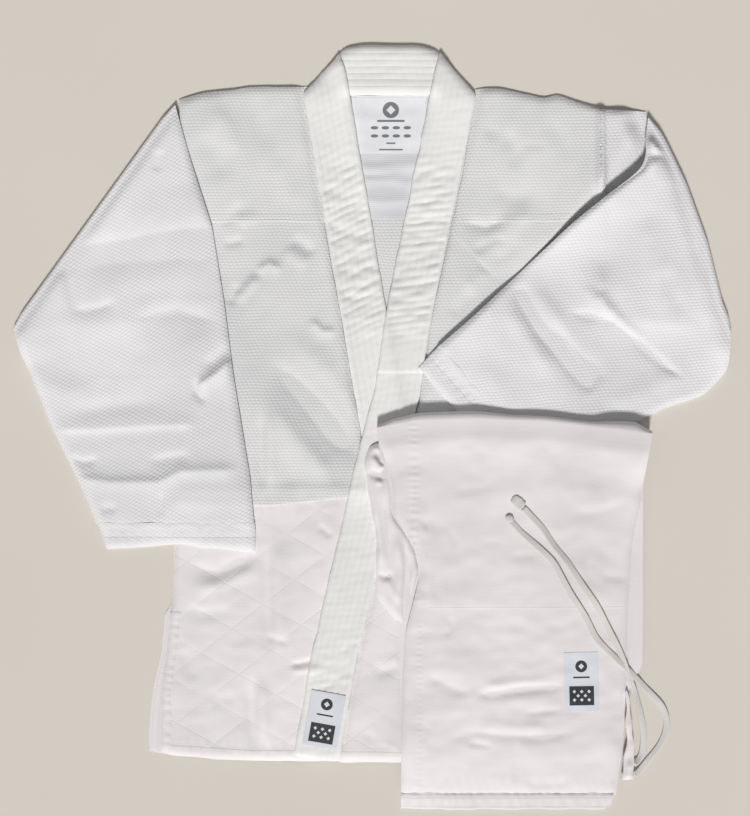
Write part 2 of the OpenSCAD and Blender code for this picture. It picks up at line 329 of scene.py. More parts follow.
def fill(loop, cell, cuts=(), seed=1):
    """Triangles filling a closed loop. The loop's points come first, in order, then each cut's, then the rest."""
    if area_of(loop) < 0:
        raise ValueError("loop runs clockwise")
    fixed = [loop] + [np.asarray(c) for c in cuts]
    rim = min(0.6 * cell, 1.4 * MM)
    along = np.roll(loop, -1, 0) - np.roll(loop, 1, 0)
    along /= np.maximum(np.hypot(along[:, 0], along[:, 1]), 1e-9)[:, None]
    ring = loop + rim * np.stack([-along[:, 1], along[:, 0]], 1)
    far, side, _, _ = near(ring[:, 0], ring[:, 1], loop, closed=True)
    ring = ring[(far > 0.8 * rim) & (side > 0)]
    base = np.vstack(fixed)
    lo, hi = loop.min(0), loop.max(0)
    rows = np.arange(lo[1], hi[1], cell * 0.866)
    cols = np.arange(lo[0], hi[0], cell)
    gx, gy = np.meshgrid(cols, rows)
    gx = gx + (np.arange(len(rows)) % 2)[:, None] * cell / 2
    rng = np.random.default_rng(seed)
    gx = gx.ravel() + rng.uniform(-0.12, 0.12, gx.size) * cell
    gy = gy.ravel() + rng.uniform(-0.12, 0.12, gy.size) * cell
    cover = blur(coverage(loop), 5 * MM)
    ok = sample(cover, gx, gy) > 0.02
    gx, gy = gx[ok], gy[ok]
    edgy = sample(cover, gx, gy) < 0.985
    ok = np.ones(len(gx), bool)
    ok[edgy] = inside(gx[edgy], gy[edgy], loop)
    for k, line in enumerate(fixed):
        look = ok & edgy if k == 0 else ok
        d, _, _, _ = near(gx[look], gy[look], line[::2] if len(line) > 40 else line, closed=k == 0)
        ok[np.flatnonzero(look)[d <= cell * 0.6 + (rim if k == 0 else 0)]] = False
    for line in fixed[1:]:
        d, _, _, _ = near(ring[:, 0], ring[:, 1], line)
        ring = ring[d > 0.5 * rim]
    pts = np.vstack([base, ring, np.stack([gx[ok], gy[ok]], 1)])
    n = len(loop)
    edges, at = [], n
    for c in cuts:
        edges += [(at + i, at + i + 1) for i in range(len(c) - 1)]
        at += len(c)
    verts, _, faces, origin, _, _ = delaunay_2d_cdt(
        [Vector(p) for p in pts], edges, [list(range(n))], 1, 1e-7, True)
    index = np.array([o[0] if o else -1 for o in origin])
    coords = np.array([(v.x, v.y) for v in verts])
    new = {}
    extra = []
    for i, o in enumerate(index):
        if o < 0:
            new[i] = len(pts) + len(extra)
            extra.append(coords[i])
        else:
            new[i] = o
    if extra:
        pts = np.vstack([pts, extra])
    tri = np.array([[new[i] for i in f] for f in faces])
    a, b, c = pts[tri[:, 0]], pts[tri[:, 1]], pts[tri[:, 2]]
    cross = (b[:, 0] - a[:, 0]) * (c[:, 1] - a[:, 1]) - (b[:, 1] - a[:, 1]) * (c[:, 0] - a[:, 0])
    tri[cross < 0] = tri[cross < 0][:, ::-1]
    tri = tri[np.abs(cross) > 1e-12]
    centre = pts[tri].mean(1)
    return pts, tri[inside(centre[:, 0], centre[:, 1], loop)]


# ---------------------------------------------------------------- meshes
def normals_of(v, tri):
    """Vertex normals weighted by the triangles' areas."""
    n = np.zeros_like(v)
    c = np.cross(v[tri[:, 1]] - v[tri[:, 0]], v[tri[:, 2]] - v[tri[:, 0]])
    for k in range(3):
        np.add.at(n, tri[:, k], c)
    return n / np.maximum(np.linalg.norm(n, axis=1), 1e-12)[:, None]


def cloth_mesh(name, v, tri, t, material, uv, edge=None, drop=0.0, rim=0.35, shared=None, normals=None):
    """A piece of cloth t thick round the surface v, thinner at its edge, with its rim down to drop below it.
    shared are the vertices it has in common with its neighbour, normals those of the whole surface."""
    used = np.unique(tri)
    back = np.full(len(v), -1)
    back[used] = np.arange(len(used))
    joined = np.zeros(len(v), bool)
    if shared is not None:
        joined[shared] = True
    joined = joined[used]
    n = (normals_of(v, tri) if normals is None else normals)[used]
    v, tri, uv = v[used], back[tri], uv[used]
    edge = edge[used] if edge is not None else None
    pairs = np.concatenate([tri[:, [0, 1]], tri[:, [1, 2]], tri[:, [2, 0]]])
    keys = pairs[:, 0] * len(v) + pairs[:, 1]
    border = pairs[~np.isin(keys, pairs[:, 1] * len(v) + pairs[:, 0])]
    ring = np.full(len(v), 2)
    ring[np.unique(border)] = 0
    touch = np.zeros(len(v), bool)
    for k in range(3):
        touch[tri[:, k]] |= (ring[tri] == 0).any(1)
    ring[(ring == 2) & touch] = 1
    share = np.array([rim, 0.5 + rim * 0.9, 1.0])[ring].clip(0, 1)
    share[joined] = 1.0
    half = (np.broadcast_to(t, (len(v),)) * share / 2)[:, None]
    upper, lower = v + n * half, v - n * half
    lower[(ring == 0) & ~joined, 2] -= drop
    lower[:, 2] = np.maximum(lower[:, 2], 0.05 * MM)
    top, bottom = normals_of(upper, tri), normals_of(lower, tri)
    top[joined], bottom[joined] = n[joined], n[joined]
    count = len(v)
    quads = np.stack([border[:, 0], border[:, 0] + count, border[:, 1] + count, border[:, 1]], 1)
    d = v[border[:, 1]] - v[border[:, 0]]
    wall = np.stack([d[:, 1], -d[:, 0], np.zeros(len(d))], 1)
    wall /= np.maximum(np.linalg.norm(wall, axis=1), 1e-12)[:, None]
    side = np.zeros_like(v)
    for k in (0, 1):
        np.add.at(side, border[:, k], wall)
    side /= np.maximum(np.linalg.norm(side, axis=1), 1e-12)[:, None]
    brow = top + side
    brow /= np.maximum(np.linalg.norm(brow, axis=1), 1e-12)[:, None]
    me = bpy.data.meshes.new(name)
    tris = np.vstack([tri, tri[:, ::-1] + count])
    loops = np.concatenate([tris.ravel(), quads.ravel()])
    starts = np.concatenate([np.arange(len(tris)) * 3, len(tris) * 3 + np.arange(len(quads)) * 4])
    me.vertices.add(len(v) * 2)
    me.vertices.foreach_set("co", np.vstack([upper, lower]).astype(np.float32).ravel())
    me.loops.add(len(loops))
    me.loops.foreach_set("vertex_index", loops.astype(np.int32))
    me.polygons.add(len(starts))
    me.polygons.foreach_set("loop_start", starts.astype(np.int32))
    me.update(calc_edges=True)
    me.polygons.foreach_set("use_smooth", np.ones(len(me.polygons), bool))
    layer = me.uv_layers.new(name="Cloth")
    layer.data.foreach_set("uv", uv[loops % count].astype(np.float32).ravel())
    if edge is not None:
        layer = me.uv_layers.new(name="Edge")
        layer.data.foreach_set("uv", edge[loops % count].astype(np.float32).ravel())
    corner = np.vstack([top[tri.ravel()], -bottom[tri[:, ::-1].ravel()],
                        np.stack([brow[border[:, 0]], side[border[:, 0]], side[border[:, 1]], brow[border[:, 1]]],
                                 1).reshape(-1, 3)])
    me.normals_split_custom_set([tuple(c) for c in corner])
    me.materials.append(material)
    ob = bpy.data.objects.new(name, me)
    bpy.context.scene.collection.objects.link(ob)
    return ob


def grain(xy, angle=0.0, origin=(0, 0)):
    """Coordinates along and across the cloth's grain."""
    c, s = math.cos(math.radians(angle)), math.sin(math.radians(angle))
    p = xy - np.array(origin)
    return np.stack([p[:, 0] * c + p[:, 1] * s, -p[:, 0] * s + p[:, 1] * c], 1)


LEAST_SHARE = 0.31  # the least of its flat box that a sheet fills
BOX_SHARE = 0.35  # what it fills once the box is made smaller


def settle(ob, body, nodes):
    """Makes a piece ride on its body in place of its CAD nodes, which it hides."""
    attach(ob, body)
    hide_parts(*nodes)


def panel(name, loop, middle, t, cell, material, body, nodes, angle=0.0, uv=None, fine=None,
          stitch=None, drop=0.0, rim=0.35, thick=None, seed=1, spare=1.0):
    """One piece of cloth t thick, with this outline, whose middle lies on a height map.
    fine adds relief too small for the map; stitch is the edge that lines of stitching follow."""
    pts, tri = fill(loop, cell, seed=seed)
    x, y = pts[:, 0], pts[:, 1]
    z = sample(middle, x, y)
    if fine is not None:
        z = z + fine(x, y)
    v = np.stack([x, y, z], 1)
    coords = uv(pts) if uv else grain(pts, angle)
    edge = None
    if stitch is not None:
        d, _, along, _ = near(x, y, stitch)
        edge = np.stack([along, d], 1)
    tt = thick(x, y) if thick else t
    ob = cloth_mesh(name, v, tri, tt, material, coords, edge, drop, rim)
    settle(ob, body, nodes)
    declare(loop, spare)


def declare(loop, spare):
    """Works out a sheet's flat box from its outline, and keeps nothing: it declares and returns nothing. spare is how
    many times the outline's area its flat cloth is, where it is folded or drawn in. A narrow slanting piece gets a
    smaller box than its outline's, which is mostly empty."""
    size = np.asarray(loop).max(0) - np.asarray(loop).min(0)
    flat = abs(area_of(np.asarray(loop))) * spare
    size = size * math.sqrt(spare)
    share = flat / (size[0] * size[1])
    if share < LEAST_SHARE:
        size = size * math.sqrt(share / BOX_SHARE)


# ---------------------------------------------------------------- materials
class Nodes:
    """A short way to write a material's nodes."""

    def __init__(self, name):
        self.mat = bpy.data.materials.new(name)
        self.mat.use_nodes = True
        self.tree = self.mat.node_tree
        self.tree.nodes.clear()
        self.out = self.tree.nodes.new("ShaderNodeOutputMaterial")
        self.bsdf = self.tree.nodes.new("ShaderNodeBsdfPrincipled")
        self.tree.links.new(self.bsdf.outputs[0], self.out.inputs[0])

    def put(self, socket, value):
        """Links a socket, or sets its value."""
        if isinstance(value, bpy.types.NodeSocket):
            self.tree.links.new(value, socket)
        else:
            socket.default_value = value

    def math(self, op, a, b=None, c=None):
        n = self.tree.nodes.new("ShaderNodeMath")
        n.operation = op
        for k, value in enumerate((a, b, c)):
            if value is not None:
                self.put(n.inputs[k], value)
        return n.outputs[0]

    def uv(self, name):
        """A UV map's vector, u and v."""
        n = self.tree.nodes.new("ShaderNodeUVMap")
        n.uv_map = name
        s = self.tree.nodes.new("ShaderNodeSeparateXYZ")
        self.tree.links.new(n.outputs[0], s.inputs[0])
        return n.outputs[0], s.outputs[0], s.outputs[1]

    def noise(self, vector, scale, detail):
        n = self.tree.nodes.new("ShaderNodeTexNoise")
        n.inputs["Scale"].default_value = scale
        n.inputs["Detail"].default_value = detail
        n.inputs["Roughness"].default_value = 0.55
        self.tree.links.new(vector, n.inputs["Vector"])
        return n.outputs["Fac"]

    def ramp(self, value, low, high, to_low=0.0, to_high=1.0, smooth=True):
        """A value taken from the range low to high to another range, and held at its ends."""
        n = self.tree.nodes.new("ShaderNodeMapRange")
        n.interpolation_type = "SMOOTHSTEP" if smooth else "LINEAR"
        self.put(n.inputs["Value"], value)
        for key, x in (("From Min", low), ("From Max", high), ("To Min", to_low), ("To Max", to_high)):
            n.inputs[key].default_value = x
        return n.outputs["Result"]

    def mix(self, fac, a, b):
        n = self.tree.nodes.new("ShaderNodeMix")
        n.data_type = "RGBA"
        self.put(n.inputs[0], fac)
        self.put(n.inputs[6], a)
        self.put(n.inputs[7], b)
        return n.outputs[2]

    def bump(self, height, distance, normal=None):
        n = self.tree.nodes.new("ShaderNodeBump")
        n.inputs["Strength"].default_value = 1.0
        n.inputs["Distance"].default_value = distance
        self.put(n.inputs["Height"], height)
        if normal is not None:
            self.tree.links.new(normal, n.inputs["Normal"])
        return n.outputs[0]


def rgb(r, g, b):
    """A colour given as 0 to 255 sRGB, as the linear one that a shader takes."""
    def lin(c):
        c /= 255
        return c / 12.92 if c <= 0.04045 else ((c + 0.055) / 1.055) ** 2.4
    return (lin(r), lin(g), lin(b), 1.0)


def cloth(name, colour, shade, pitch, depth, kind="grain", stitch=None, rows=None, quilt=None,
          fuzz=0.00006):
    """White cotton: its weave, fuzz, uneven tint and lines of stitching, with painted shade in the weave's hollows and
    along the lines of stitching. shade is the darker colour that the tint and the painted shade mix towards. pitch is
    the weave's repeat along and across the cloth and depth its relief; stitch, rows and quilt place the stitching, all
    in millimetres."""
    n = Nodes(name)
    vec, u, v = n.uv("Cloth")
    pu, pv = pitch[0] * MM, pitch[1] * MM
    wander = n.math("MULTIPLY", n.math("SUBTRACT", n.noise(vec, 30.0, 1.0), 0.5), 0.004)
    vv = n.math("DIVIDE", n.math("ADD", v, wander), pv)
    row = n.math("FLOOR", vv)
    fv = n.math("FRACT", vv)
    if kind == "grain":
        uu = n.math("ADD", n.math("DIVIDE", u, pu), n.math("MULTIPLY", row, 0.36))
    else:
        uu = n.math("DIVIDE", u, pu)
    fu = n.math("FRACT", uu)
    hu = n.math("SINE", n.math("MULTIPLY", fu, math.pi))
    hv = n.math("SINE", n.math("MULTIPLY", fv, math.pi))
    if kind == "grain":
        weave = n.math("POWER", n.math("MULTIPLY", hu, hv), 0.6)
    elif kind == "rib":
        weave = n.math("POWER", hv, 0.7)
    else:
        weave = n.math("MULTIPLY", n.math("ADD", hu, hv), 0.5)
    wear = n.noise(vec, 14.0, 3.0)
    patchy = n.ramp(wear, 0.3, 0.7, 0.62, 1.15, smooth=False)
    normal = n.bump(n.math("MULTIPLY", weave, patchy), depth * MM)
    fine = n.noise(vec, 1500.0, 2.0)
    normal = n.bump(fine, fuzz, normal=normal)
    # painted shade: the weave's hollows are darkened in the colour, as the shade between the grains
    dark = n.ramp(weave, 0.05, 0.75, 0.36, 0.0)
    lines = []
    if rows:  # lines of stitching across the v direction, spaced rows apart
        gap, offset = rows[0] * MM, rows[1] * MM
        f = n.math("FRACT", n.math("DIVIDE", n.math("ADD", v, offset), gap))
        f = n.math("ABSOLUTE", n.math("SUBTRACT", f, 0.5))
        d = n.math("MULTIPLY", f, gap)
        dash = n.ramp(n.math("FRACT", n.math("DIVIDE", u, 3.6 * MM)), 0.1, 0.25, 0.5, 1.0)
        worn = n.ramp(n.noise(vec, 22.0, 2.0), 0.35, 0.65, 0.25, 0.8)
        lines.append(n.math("MULTIPLY", n.math("MULTIPLY", n.ramp(d, 0.0002, 0.0011, 1.0, 0.0), dash), worn))
    if stitch:  # lines of stitching at set distances from the edge
        _, eu, ev = n.uv("Edge")
        for at in stitch:
            d = n.math("ABSOLUTE", n.math("SUBTRACT", ev, at * MM))
            dash = n.ramp(n.math("FRACT", n.math("DIVIDE", eu, 3.4 * MM)), 0.12, 0.3, 0.35, 1.0)
            lines.append(n.math("MULTIPLY", n.ramp(d, 0.0002, 0.001, 1.0, 0.0), dash))
    if quilt:  # two sets of slanting lines that quilt the cloth into diamonds
        for angle, gap, offset in quilt:
            c, s = math.cos(math.radians(angle)), math.sin(math.radians(angle))
            a = n.math("ADD", n.math("MULTIPLY", u, -s), n.math("MULTIPLY", v, c))
            along = n.math("ADD", n.math("MULTIPLY", u, c), n.math("MULTIPLY", v, s))
            f = n.math("FRACT", n.math("DIVIDE", n.math("ADD", a, offset * MM), gap * MM))
            d = n.math("MULTIPLY", n.math("ABSOLUTE", n.math("SUBTRACT", f, 0.5)), gap * MM)
            dash = n.ramp(n.math("FRACT", n.math("DIVIDE", along, 4.0 * MM)), 0.1, 0.3, 0.4, 1.0)
            worn = n.ramp(n.noise(vec, 16.0, 2.0), 0.40, 0.62, 0.12, 0.85)
            lines.append(n.math("MULTIPLY", n.math("MULTIPLY", n.ramp(d, 0.0002, 0.001, 1.0, 0.0), dash), worn))
    total = None
    for line in lines:
        total = line if total is None else n.math("MAXIMUM", total, line)
    if total is not None:
        normal = n.bump(n.math("SUBTRACT", 1.0, total), 0.00018, normal=normal)
        # painted shade along the lines of stitching, as the shade in their grooves
        dark = n.math("MAXIMUM", dark, n.math("MULTIPLY", total, 0.42))
    tint = n.noise(vec, 6.0, 4.0)
    colour_a = n.mix(n.ramp(tint, 0.35, 0.65, 0.0, 0.35, smooth=False), colour, shade)
    # the colour: the random tint, darkened further by the painted shade of the weave's hollows and the stitching
    n.put(n.bsdf.inputs["Base Color"], n.mix(n.math("MULTIPLY", dark, 0.30), colour_a, shade))
    n.put(n.bsdf.inputs["Roughness"], n.ramp(weave, 0.0, 1.0, 0.97, 0.86, smooth=False))
    n.put(n.bsdf.inputs["Normal"], normal)
    n.bsdf.inputs["Sheen Weight"].default_value = 0.25
    n.bsdf.inputs["Sheen Roughness"].default_value = 0.5
    n.bsdf.inputs["Specular IOR Level"].default_value = 0.2
    return n.mat


WHITE = rgb(233, 231, 232)
SHADE = rgb(194, 192, 194)
# painted shade: the body and its shoulder patches get a darker white than the sleeves' WHITE, though they are the same
# rice-grain cloth
BODY_WHITE_PAINTED_DARKER = rgb(227, 226, 226)
BODY_SHADE_PAINTED_DARKER = rgb(188, 187, 188)
SKIRT = rgb(236, 231, 231)
SKIRT_SHADE = rgb(198, 193, 193)
TROUSER = rgb(235, 229, 230)
TROUSER_SHADE = rgb(197, 190, 192)
GRAIN, PLAIN, FIRM = (4.6, 3.3), (1.4, 1.4), (1.5, 1.5)  # repeats of the weaves, in millimetres
BAND_ROW = 7.2  # between the rows of stitching on the neck band, in millimetres
m_weave = cloth("rice_grain_weave", WHITE, SHADE, GRAIN, 0.38)
m_weave_hem = cloth("rice_grain_hem", WHITE, SHADE, GRAIN, 0.3, stitch=(14.0,))
# painted shade: the body panels and shoulder patches use the darker body white
m_body_painted_shade = cloth("rice_grain_body_painted_shade", BODY_WHITE_PAINTED_DARKER, BODY_SHADE_PAINTED_DARKER, GRAIN, 0.38)
m_patch_painted_shade = cloth("rice_grain_patch_painted_shade", BODY_WHITE_PAINTED_DARKER, BODY_SHADE_PAINTED_DARKER, GRAIN, 0.34, stitch=(3.0, 9.0))
m_band = cloth("lapel_canvas", rgb(239, 237, 235), rgb(203, 200, 198), (1.6, 1.6), 0.12, kind="plain",
               rows=(BAND_ROW, 0.0))
QUILT = ((-29.0, 40.0, 8.0), (38.0, 44.0, 12.0))  # angle, gap and offset of each set of quilting lines
m_facing = cloth("stitched_facing", SKIRT, SKIRT_SHADE, FIRM, 0.1, kind="plain",
                 stitch=(2.0, 10.0))
m_lining = cloth("plain_lining", rgb(226, 226, 229), rgb(180, 180, 185), (1.2, 2.4), 0.12, kind="rib")
m_trouser = cloth("trouser_cotton", TROUSER, TROUSER_SHADE, PLAIN, 0.1, kind="plain")
m_trouser_hem = cloth("trouser_hem", TROUSER, TROUSER_SHADE, PLAIN, 0.1, kind="plain",
                      stitch=(2.0, 12.0))
m_tape = cloth("drawstring_tape", rgb(222, 218, 215), rgb(160, 154, 149), (1.0, 1.8), 0.2, kind="rib", fuzz=0.0001)


def label_material(name, marks, pale=(rgb(220, 222, 229), rgb(206, 208, 216)), dark=rgb(26, 27, 33)):
    """Pale woven label cloth with plain generic marks; u and v are metres from its middle."""
    n = Nodes(name)
    vec, u, v = n.uv("Cloth")
    ink = None
    for kind, cx, cy, sx, sy in marks:
        dx = n.math("ABSOLUTE", n.math("SUBTRACT", u, cx * MM))
        dy = n.math("ABSOLUTE", n.math("SUBTRACT", v, cy * MM))
        ex, ey = n.math("DIVIDE", dx, sx * MM), n.math("DIVIDE", dy, sy * MM)
        if kind == "box":
            r = n.math("MAXIMUM", ex, ey)
        elif kind == "disc":
            r = n.math("SQRT", n.math("ADD", n.math("MULTIPLY", ex, ex), n.math("MULTIPLY", ey, ey)))
        else:  # diamond
            r = n.math("ADD", ex, ey)
        shape = n.ramp(r, 0.97, 1.03, 1.0, 0.0)
        if kind == "hole":
            ink = n.math("MULTIPLY", ink, n.math("SUBTRACT", 1.0, shape))
        else:
            ink = shape if ink is None else n.math("MAXIMUM", ink, shape)
    tint = n.noise(vec, 40.0, 3.0)
    base = n.mix(n.ramp(tint, 0.3, 0.7, 0.0, 0.5), pale[0], pale[1])
    n.put(n.bsdf.inputs["Base Color"], n.mix(ink, base, dark))
    n.put(n.bsdf.inputs["Roughness"], n.ramp(n.noise(vec, 600.0, 2.0), 0.3, 0.7, 0.5, 0.7))
    w = n.math("SINE", n.math("MULTIPLY", v, 2 * math.pi / (0.7 * MM)))
    n.put(n.bsdf.inputs["Normal"], n.bump(w, 0.00004))
    n.bsdf.inputs["Sheen Weight"].default_value = 0.2
    return n.mat


BLOCK = [("disc", 0, 17, 6.5, 6.5), ("hole", 0, 17, 3.2, 3.2), ("box", 0, 5, 9, 0.9),
         ("box", 0, -15, 13.5, 10.5)]
DOTS = [("hole", x, y, 2.0, 2.0) for x in (-8, 0, 8) for y in (-10.5, -19.5)]
DOTS += [("hole", x, -15, 2.0, 2.0) for x in (-4, 4)]
m_label = label_material("printed_label", BLOCK + DOTS)

# ---------------------------------------------------------------- folds
def fold_line(points, cell):
    """A fold's line, resampled and made smooth."""
    line = resample(mm(points), cell)
    for _ in range(8):
        line[1:-1] = 0.5 * line[1:-1] + 0.25 * (line[:-2] + line[2:])
    return line


def rest_of(loop, on):
    """The part of a closed loop that isn't on its fold, in order."""
    start = next(i for i in range(len(loop)) if not on[i] and on[i - 1])
    order = [(start + k) % len(loop) for k in range(len(loop))]
    return np.array([loop[i] for i in order if not on[i]])


RINGS = (-78.75, -56.25, -33.75, -11.25, 11.25, 33.75, 56.25, 78.75)  # degrees round the bend of a fold
SHARP_FOLD_CORNER = 52  # degrees of turn above which an outline's corner isn't rounded
TAPER = 22 * MM  # how far from its ends a fold's bulge grows


def folded(name, fold, lower_rest, upper_rest, mid_lower, mid_upper, t, cells, strip, material, bodies,
           nodes_a, nodes_b, angle=0.0, fine=None, split_lower=False, drop=0.0, rounds=14):
    """One ply that runs under a fold, round it and back on top. The bend and the strip by the fold, between the two
    heights of level, make a piece that stays where it is built and rides on no body; the rest of the top rides on the
    second body.
    split_lower leaves the rest of the bottom on the first body, as a piece of its own; otherwise the bottom goes with
    the bend. rounds is how much the outline is smoothed."""
    count = len(fold)
    step = cells[1]
    loops = []
    for rest in (lower_rest, upper_rest):
        ends = np.vstack([fold[-1:], rest, fold[:1]])
        way = np.diff(ends, axis=0)
        turn = np.degrees(np.arctan2(way[:, 1], way[:, 0]))
        sharp = {tuple(np.round(q, 7)) for q, a in zip(rest, np.diff(turn))
                 if abs((a + 180) % 360 - 180) > SHARP_FOLD_CORNER}
        tail = resample(ends, step)
        pin = np.array([tuple(np.round(q, 7)) in sharp for q in tail])[1:-1, None]
        for _ in range(rounds):
            tail[1:-1] = np.where(pin, tail[1:-1], 0.5 * tail[1:-1] + 0.25 * (tail[:-2] + tail[2:]))
        loops.append(np.vstack([fold, tail[1:-1]]))
    cut = shifted(fold, strip)
    low, low_tri = fill(loops[0], cells[0])
    cuts = [cut[inside(cut[:, 0], cut[:, 1], loops[1])]] if fine else ()
    up, up_tri = fill(loops[1], cells[1], cuts=cuts)
    zl = sample(mid_lower, low[:, 0], low[:, 1])
    zu = sample(mid_upper, up[:, 0], up[:, 1])
    if fine is not None:
        zu = zu + fine(up[:, 0], up[:, 1])
    d = np.gradient(fold, axis=0)
    d /= np.hypot(d[:, 0], d[:, 1])[:, None]
    out = np.stack([d[:, 1], -d[:, 0]], 1)
    radius, centre = (zu[:count] - zl[:count]) / 2, (zu[:count] + zl[:count]) / 2
    run = np.concatenate([[0], np.cumsum(np.hypot(*np.diff(fold, axis=0).T))])
    bulge = 0.3 + 0.7 * soft(np.minimum(run, run[-1] - run) / TAPER)
    v = [np.column_stack([low, zl])]
    uvs = [grain(low, angle)]
    rings = []
    at = len(low)
    for theta in RINGS:
        c, s = math.cos(math.radians(theta)), math.sin(math.radians(theta))
        xy = fold + out * (radius * bulge * c)[:, None]
        v.append(np.column_stack([xy, centre + radius * s]))
        arc = fold + out * (radius * math.radians(90 - theta))[:, None]
        uvs.append(grain(arc, angle))
        rings.append(np.arange(at, at + count))
        at += count
    v.append(np.column_stack([up, zu]))
    uvs.append(grain(up, angle))
    rings = [np.arange(count)] + rings + [np.arange(at, at + count)]
    bend = []
    for r0, r1 in zip(rings[:-1], rings[1:]):
        a, b, c, e = r0[:-1], r0[1:], r1[1:], r1[:-1]
        bend += [np.stack([a, b, c], 1), np.stack([a, c, e], 1)]
    bend = np.vstack(bend)
    v, uvs = np.vstack(v), np.vstack(uvs)
    centre_of = up[up_tri].mean(1)
    dist, _, _, _ = near(centre_of[:, 0], centre_of[:, 1], fold)
    by_fold = dist < strip
    parts_a = [low_tri[:, ::-1], bend, up_tri[by_fold] + at]
    if split_lower:
        centre_low = low[low_tri].mean(1)
        dist_low, _, _, _ = near(centre_low[:, 0], centre_low[:, 1], fold)
        stays = dist_low >= strip
        parts_a[0] = low_tri[~stays][:, ::-1]
    part_a = np.vstack(parts_a)
    part_b = up_tri[~by_fold] + at
    shared = np.intersect1d(np.unique(part_a), np.unique(part_b))
    seam_a = shared
    if split_lower:
        part_c = low_tri[stays][:, ::-1]
        shared_c = np.intersect1d(np.unique(part_a), np.unique(part_c))
        seam_a = np.union1d(shared, shared_c)
    normals = normals_of(v, np.vstack([low_tri[:, ::-1], bend, up_tri + at]))
    a = cloth_mesh(name + "_fold", v, part_a, t, material, uvs, shared=seam_a, normals=normals)
    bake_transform(a)
    b = cloth_mesh(name, v, part_b, t, material, uvs, shared=shared, normals=normals, drop=drop)
    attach(b, bodies[1])
    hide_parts(*nodes_b)
    if split_lower:
        c = cloth_mesh(name + "_root", v, part_c, t, material, uvs, shared=shared_c, normals=normals)
        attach(c, bodies[0])
        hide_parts(*nodes_a)
    else:
        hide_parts(*nodes_a)


# ---------------------------------------------------------------- jacket
WEAVE_T, SKIRT_T, BAND_T, COTTON_T = 1.5 * MM, 1.1 * MM, 3.5 * MM, 0.75 * MM
LINING_T, PATCH_T, KNEE_T, LABEL_T, FACING_T = 0.5 * MM, 0.7 * MM, 0.5 * MM, 0.35 * MM, 0.6 * MM
COARSE, MEDIUM, FINE = 6 * MM, 3.2 * MM, 2.1 * MM
OUTLINE = {n: outline(n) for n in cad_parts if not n.startswith("drawstring")}  # each panel's outline
WAIST = -79.7  # where the CAD's body panels end, in millimetres
SEAM = mm([(-240, -86), (-127, -86), (-98, -85.5), (-70, -81.5), (-45, -78), (-20, -76.5), (40, -77), (260, -83)])


def overlap_down(loop):
    """A body panel's outline, with its lower edge along the waist seam."""
    loop = resample(loop, 3 * MM, True)
    low = np.abs(loop[:, 1] - WAIST * MM) < 0.6 * MM
    loop[low, 1] = np.interp(loop[low, 0], SEAM[:, 0], SEAM[:, 1])
    return loop


def skirt_up(node):
    """A skirt's outline, with its top edge taken up under the body panel."""
    loop = OUTLINE[node].copy()
    loop[np.abs(loop[:, 1] - WAIST * MM) < 0.6 * MM, 1] += 9 * MM
    return loop


def smooth(node, step=2.2, seed=0, loop=None):
    """A panel's outline, by default its CAD node's, rounded and slightly wavy."""
    return rounded(OUTLINE[node] if loop is None else loop, step * MM, wave=0.35, seed=seed)


def waist_puckers(x, y):
    """Short puckers in the cloth either side of the seam at the waist."""
    near_seam = np.exp(-((y - np.interp(x, SEAM[:, 0], SEAM[:, 1])) / 0.007) ** 2)
    return near_seam * 0.25 * MM * np.sin(x / (2.3 * MM) + 3 * np.sin(x / 0.021))


# back of the jacket
back_skirt = smooth("back_skirt", 3.0)
mid = lay(back_skirt, SKIRT_T)
vent_line = mm([(-229, -203), (-233, -247), (-241, -279), (-246, -321), (-247, -356)])
m_back_skirt = cloth("quilted_back_skirt", SKIRT, SKIRT_SHADE, FIRM, 0.1, kind="plain",
                     quilt=QUILT, stitch=(3.0, 9.5))
panel("back_skirt_cloth", back_skirt, mid, SKIRT_T, 4 * MM, m_back_skirt, "jacket", ["back_skirt"],
      stitch=vent_line)
back_body = smooth("back_body", 3.0, loop=overlap_down(OUTLINE["back_body"]))
mid = lay(back_body, WEAVE_T, sag=3)
panel("back_body_cloth", back_body, mid, WEAVE_T, 5 * MM, m_body_painted_shade, "jacket", ["back_body"])

# sleeve roots, which lie under the folded sleeves
R_FOLD = [(-217.3, 352.6), (-387, 118), (-394.5, 107.5)]
right_fold = fold_line(R_FOLD, FINE)
L_FOLD = [(391, 101), (377, 137), (361, 202), (337.5, 267), (315.5, 312), (300.5, 338.5)]
left_fold = fold_line(L_FOLD, FINE)


def facing_in(fold, loop):
    """The fold line, running so that the cloth lies to its left."""
    middle = np.asarray(loop).mean(0)
    d = fold[-1] - fold[0]
    q = middle - fold[0]
    return fold if d[0] * q[1] - d[1] * q[0] > 0 else fold[::-1].copy()


right_fold = facing_in(right_fold, OUTLINE["right_sleeve_front"])
left_fold = facing_in(left_fold, OUTLINE["left_sleeve_front"])


def off_fold(node, fold, reach):
    """A node's outline without the part within reach millimetres of its fold."""
    loop = OUTLINE[node]
    d, _, _, _ = near(loop[:, 0], loop[:, 1], fold)
    return rest_of(loop, d < reach * MM)


r_root_rest = off_fold("right_sleeve_root_back", right_fold, 12)
r_low_rest = off_fold("right_sleeve_front", right_fold, 12)
l_root_rest = off_fold("left_sleeve_root_back", left_fold, 16)
l_low_rest = off_fold("left_sleeve_front", left_fold, 14)
r_root_loop = np.vstack([right_fold, r_root_rest])
r_low_loop = np.vstack([right_fold, r_low_rest])
l_root_rest = np.vstack([mm([(299.5, 346.5)]), l_root_rest])
l_root_loop = np.vstack([left_fold, l_root_rest])
l_low_loop = np.vstack([left_fold, l_low_rest])
r_root_back = lay(r_root_loop, WEAVE_T, sag=2)
l_root_back = lay(l_root_loop, WEAVE_T, sag=2)

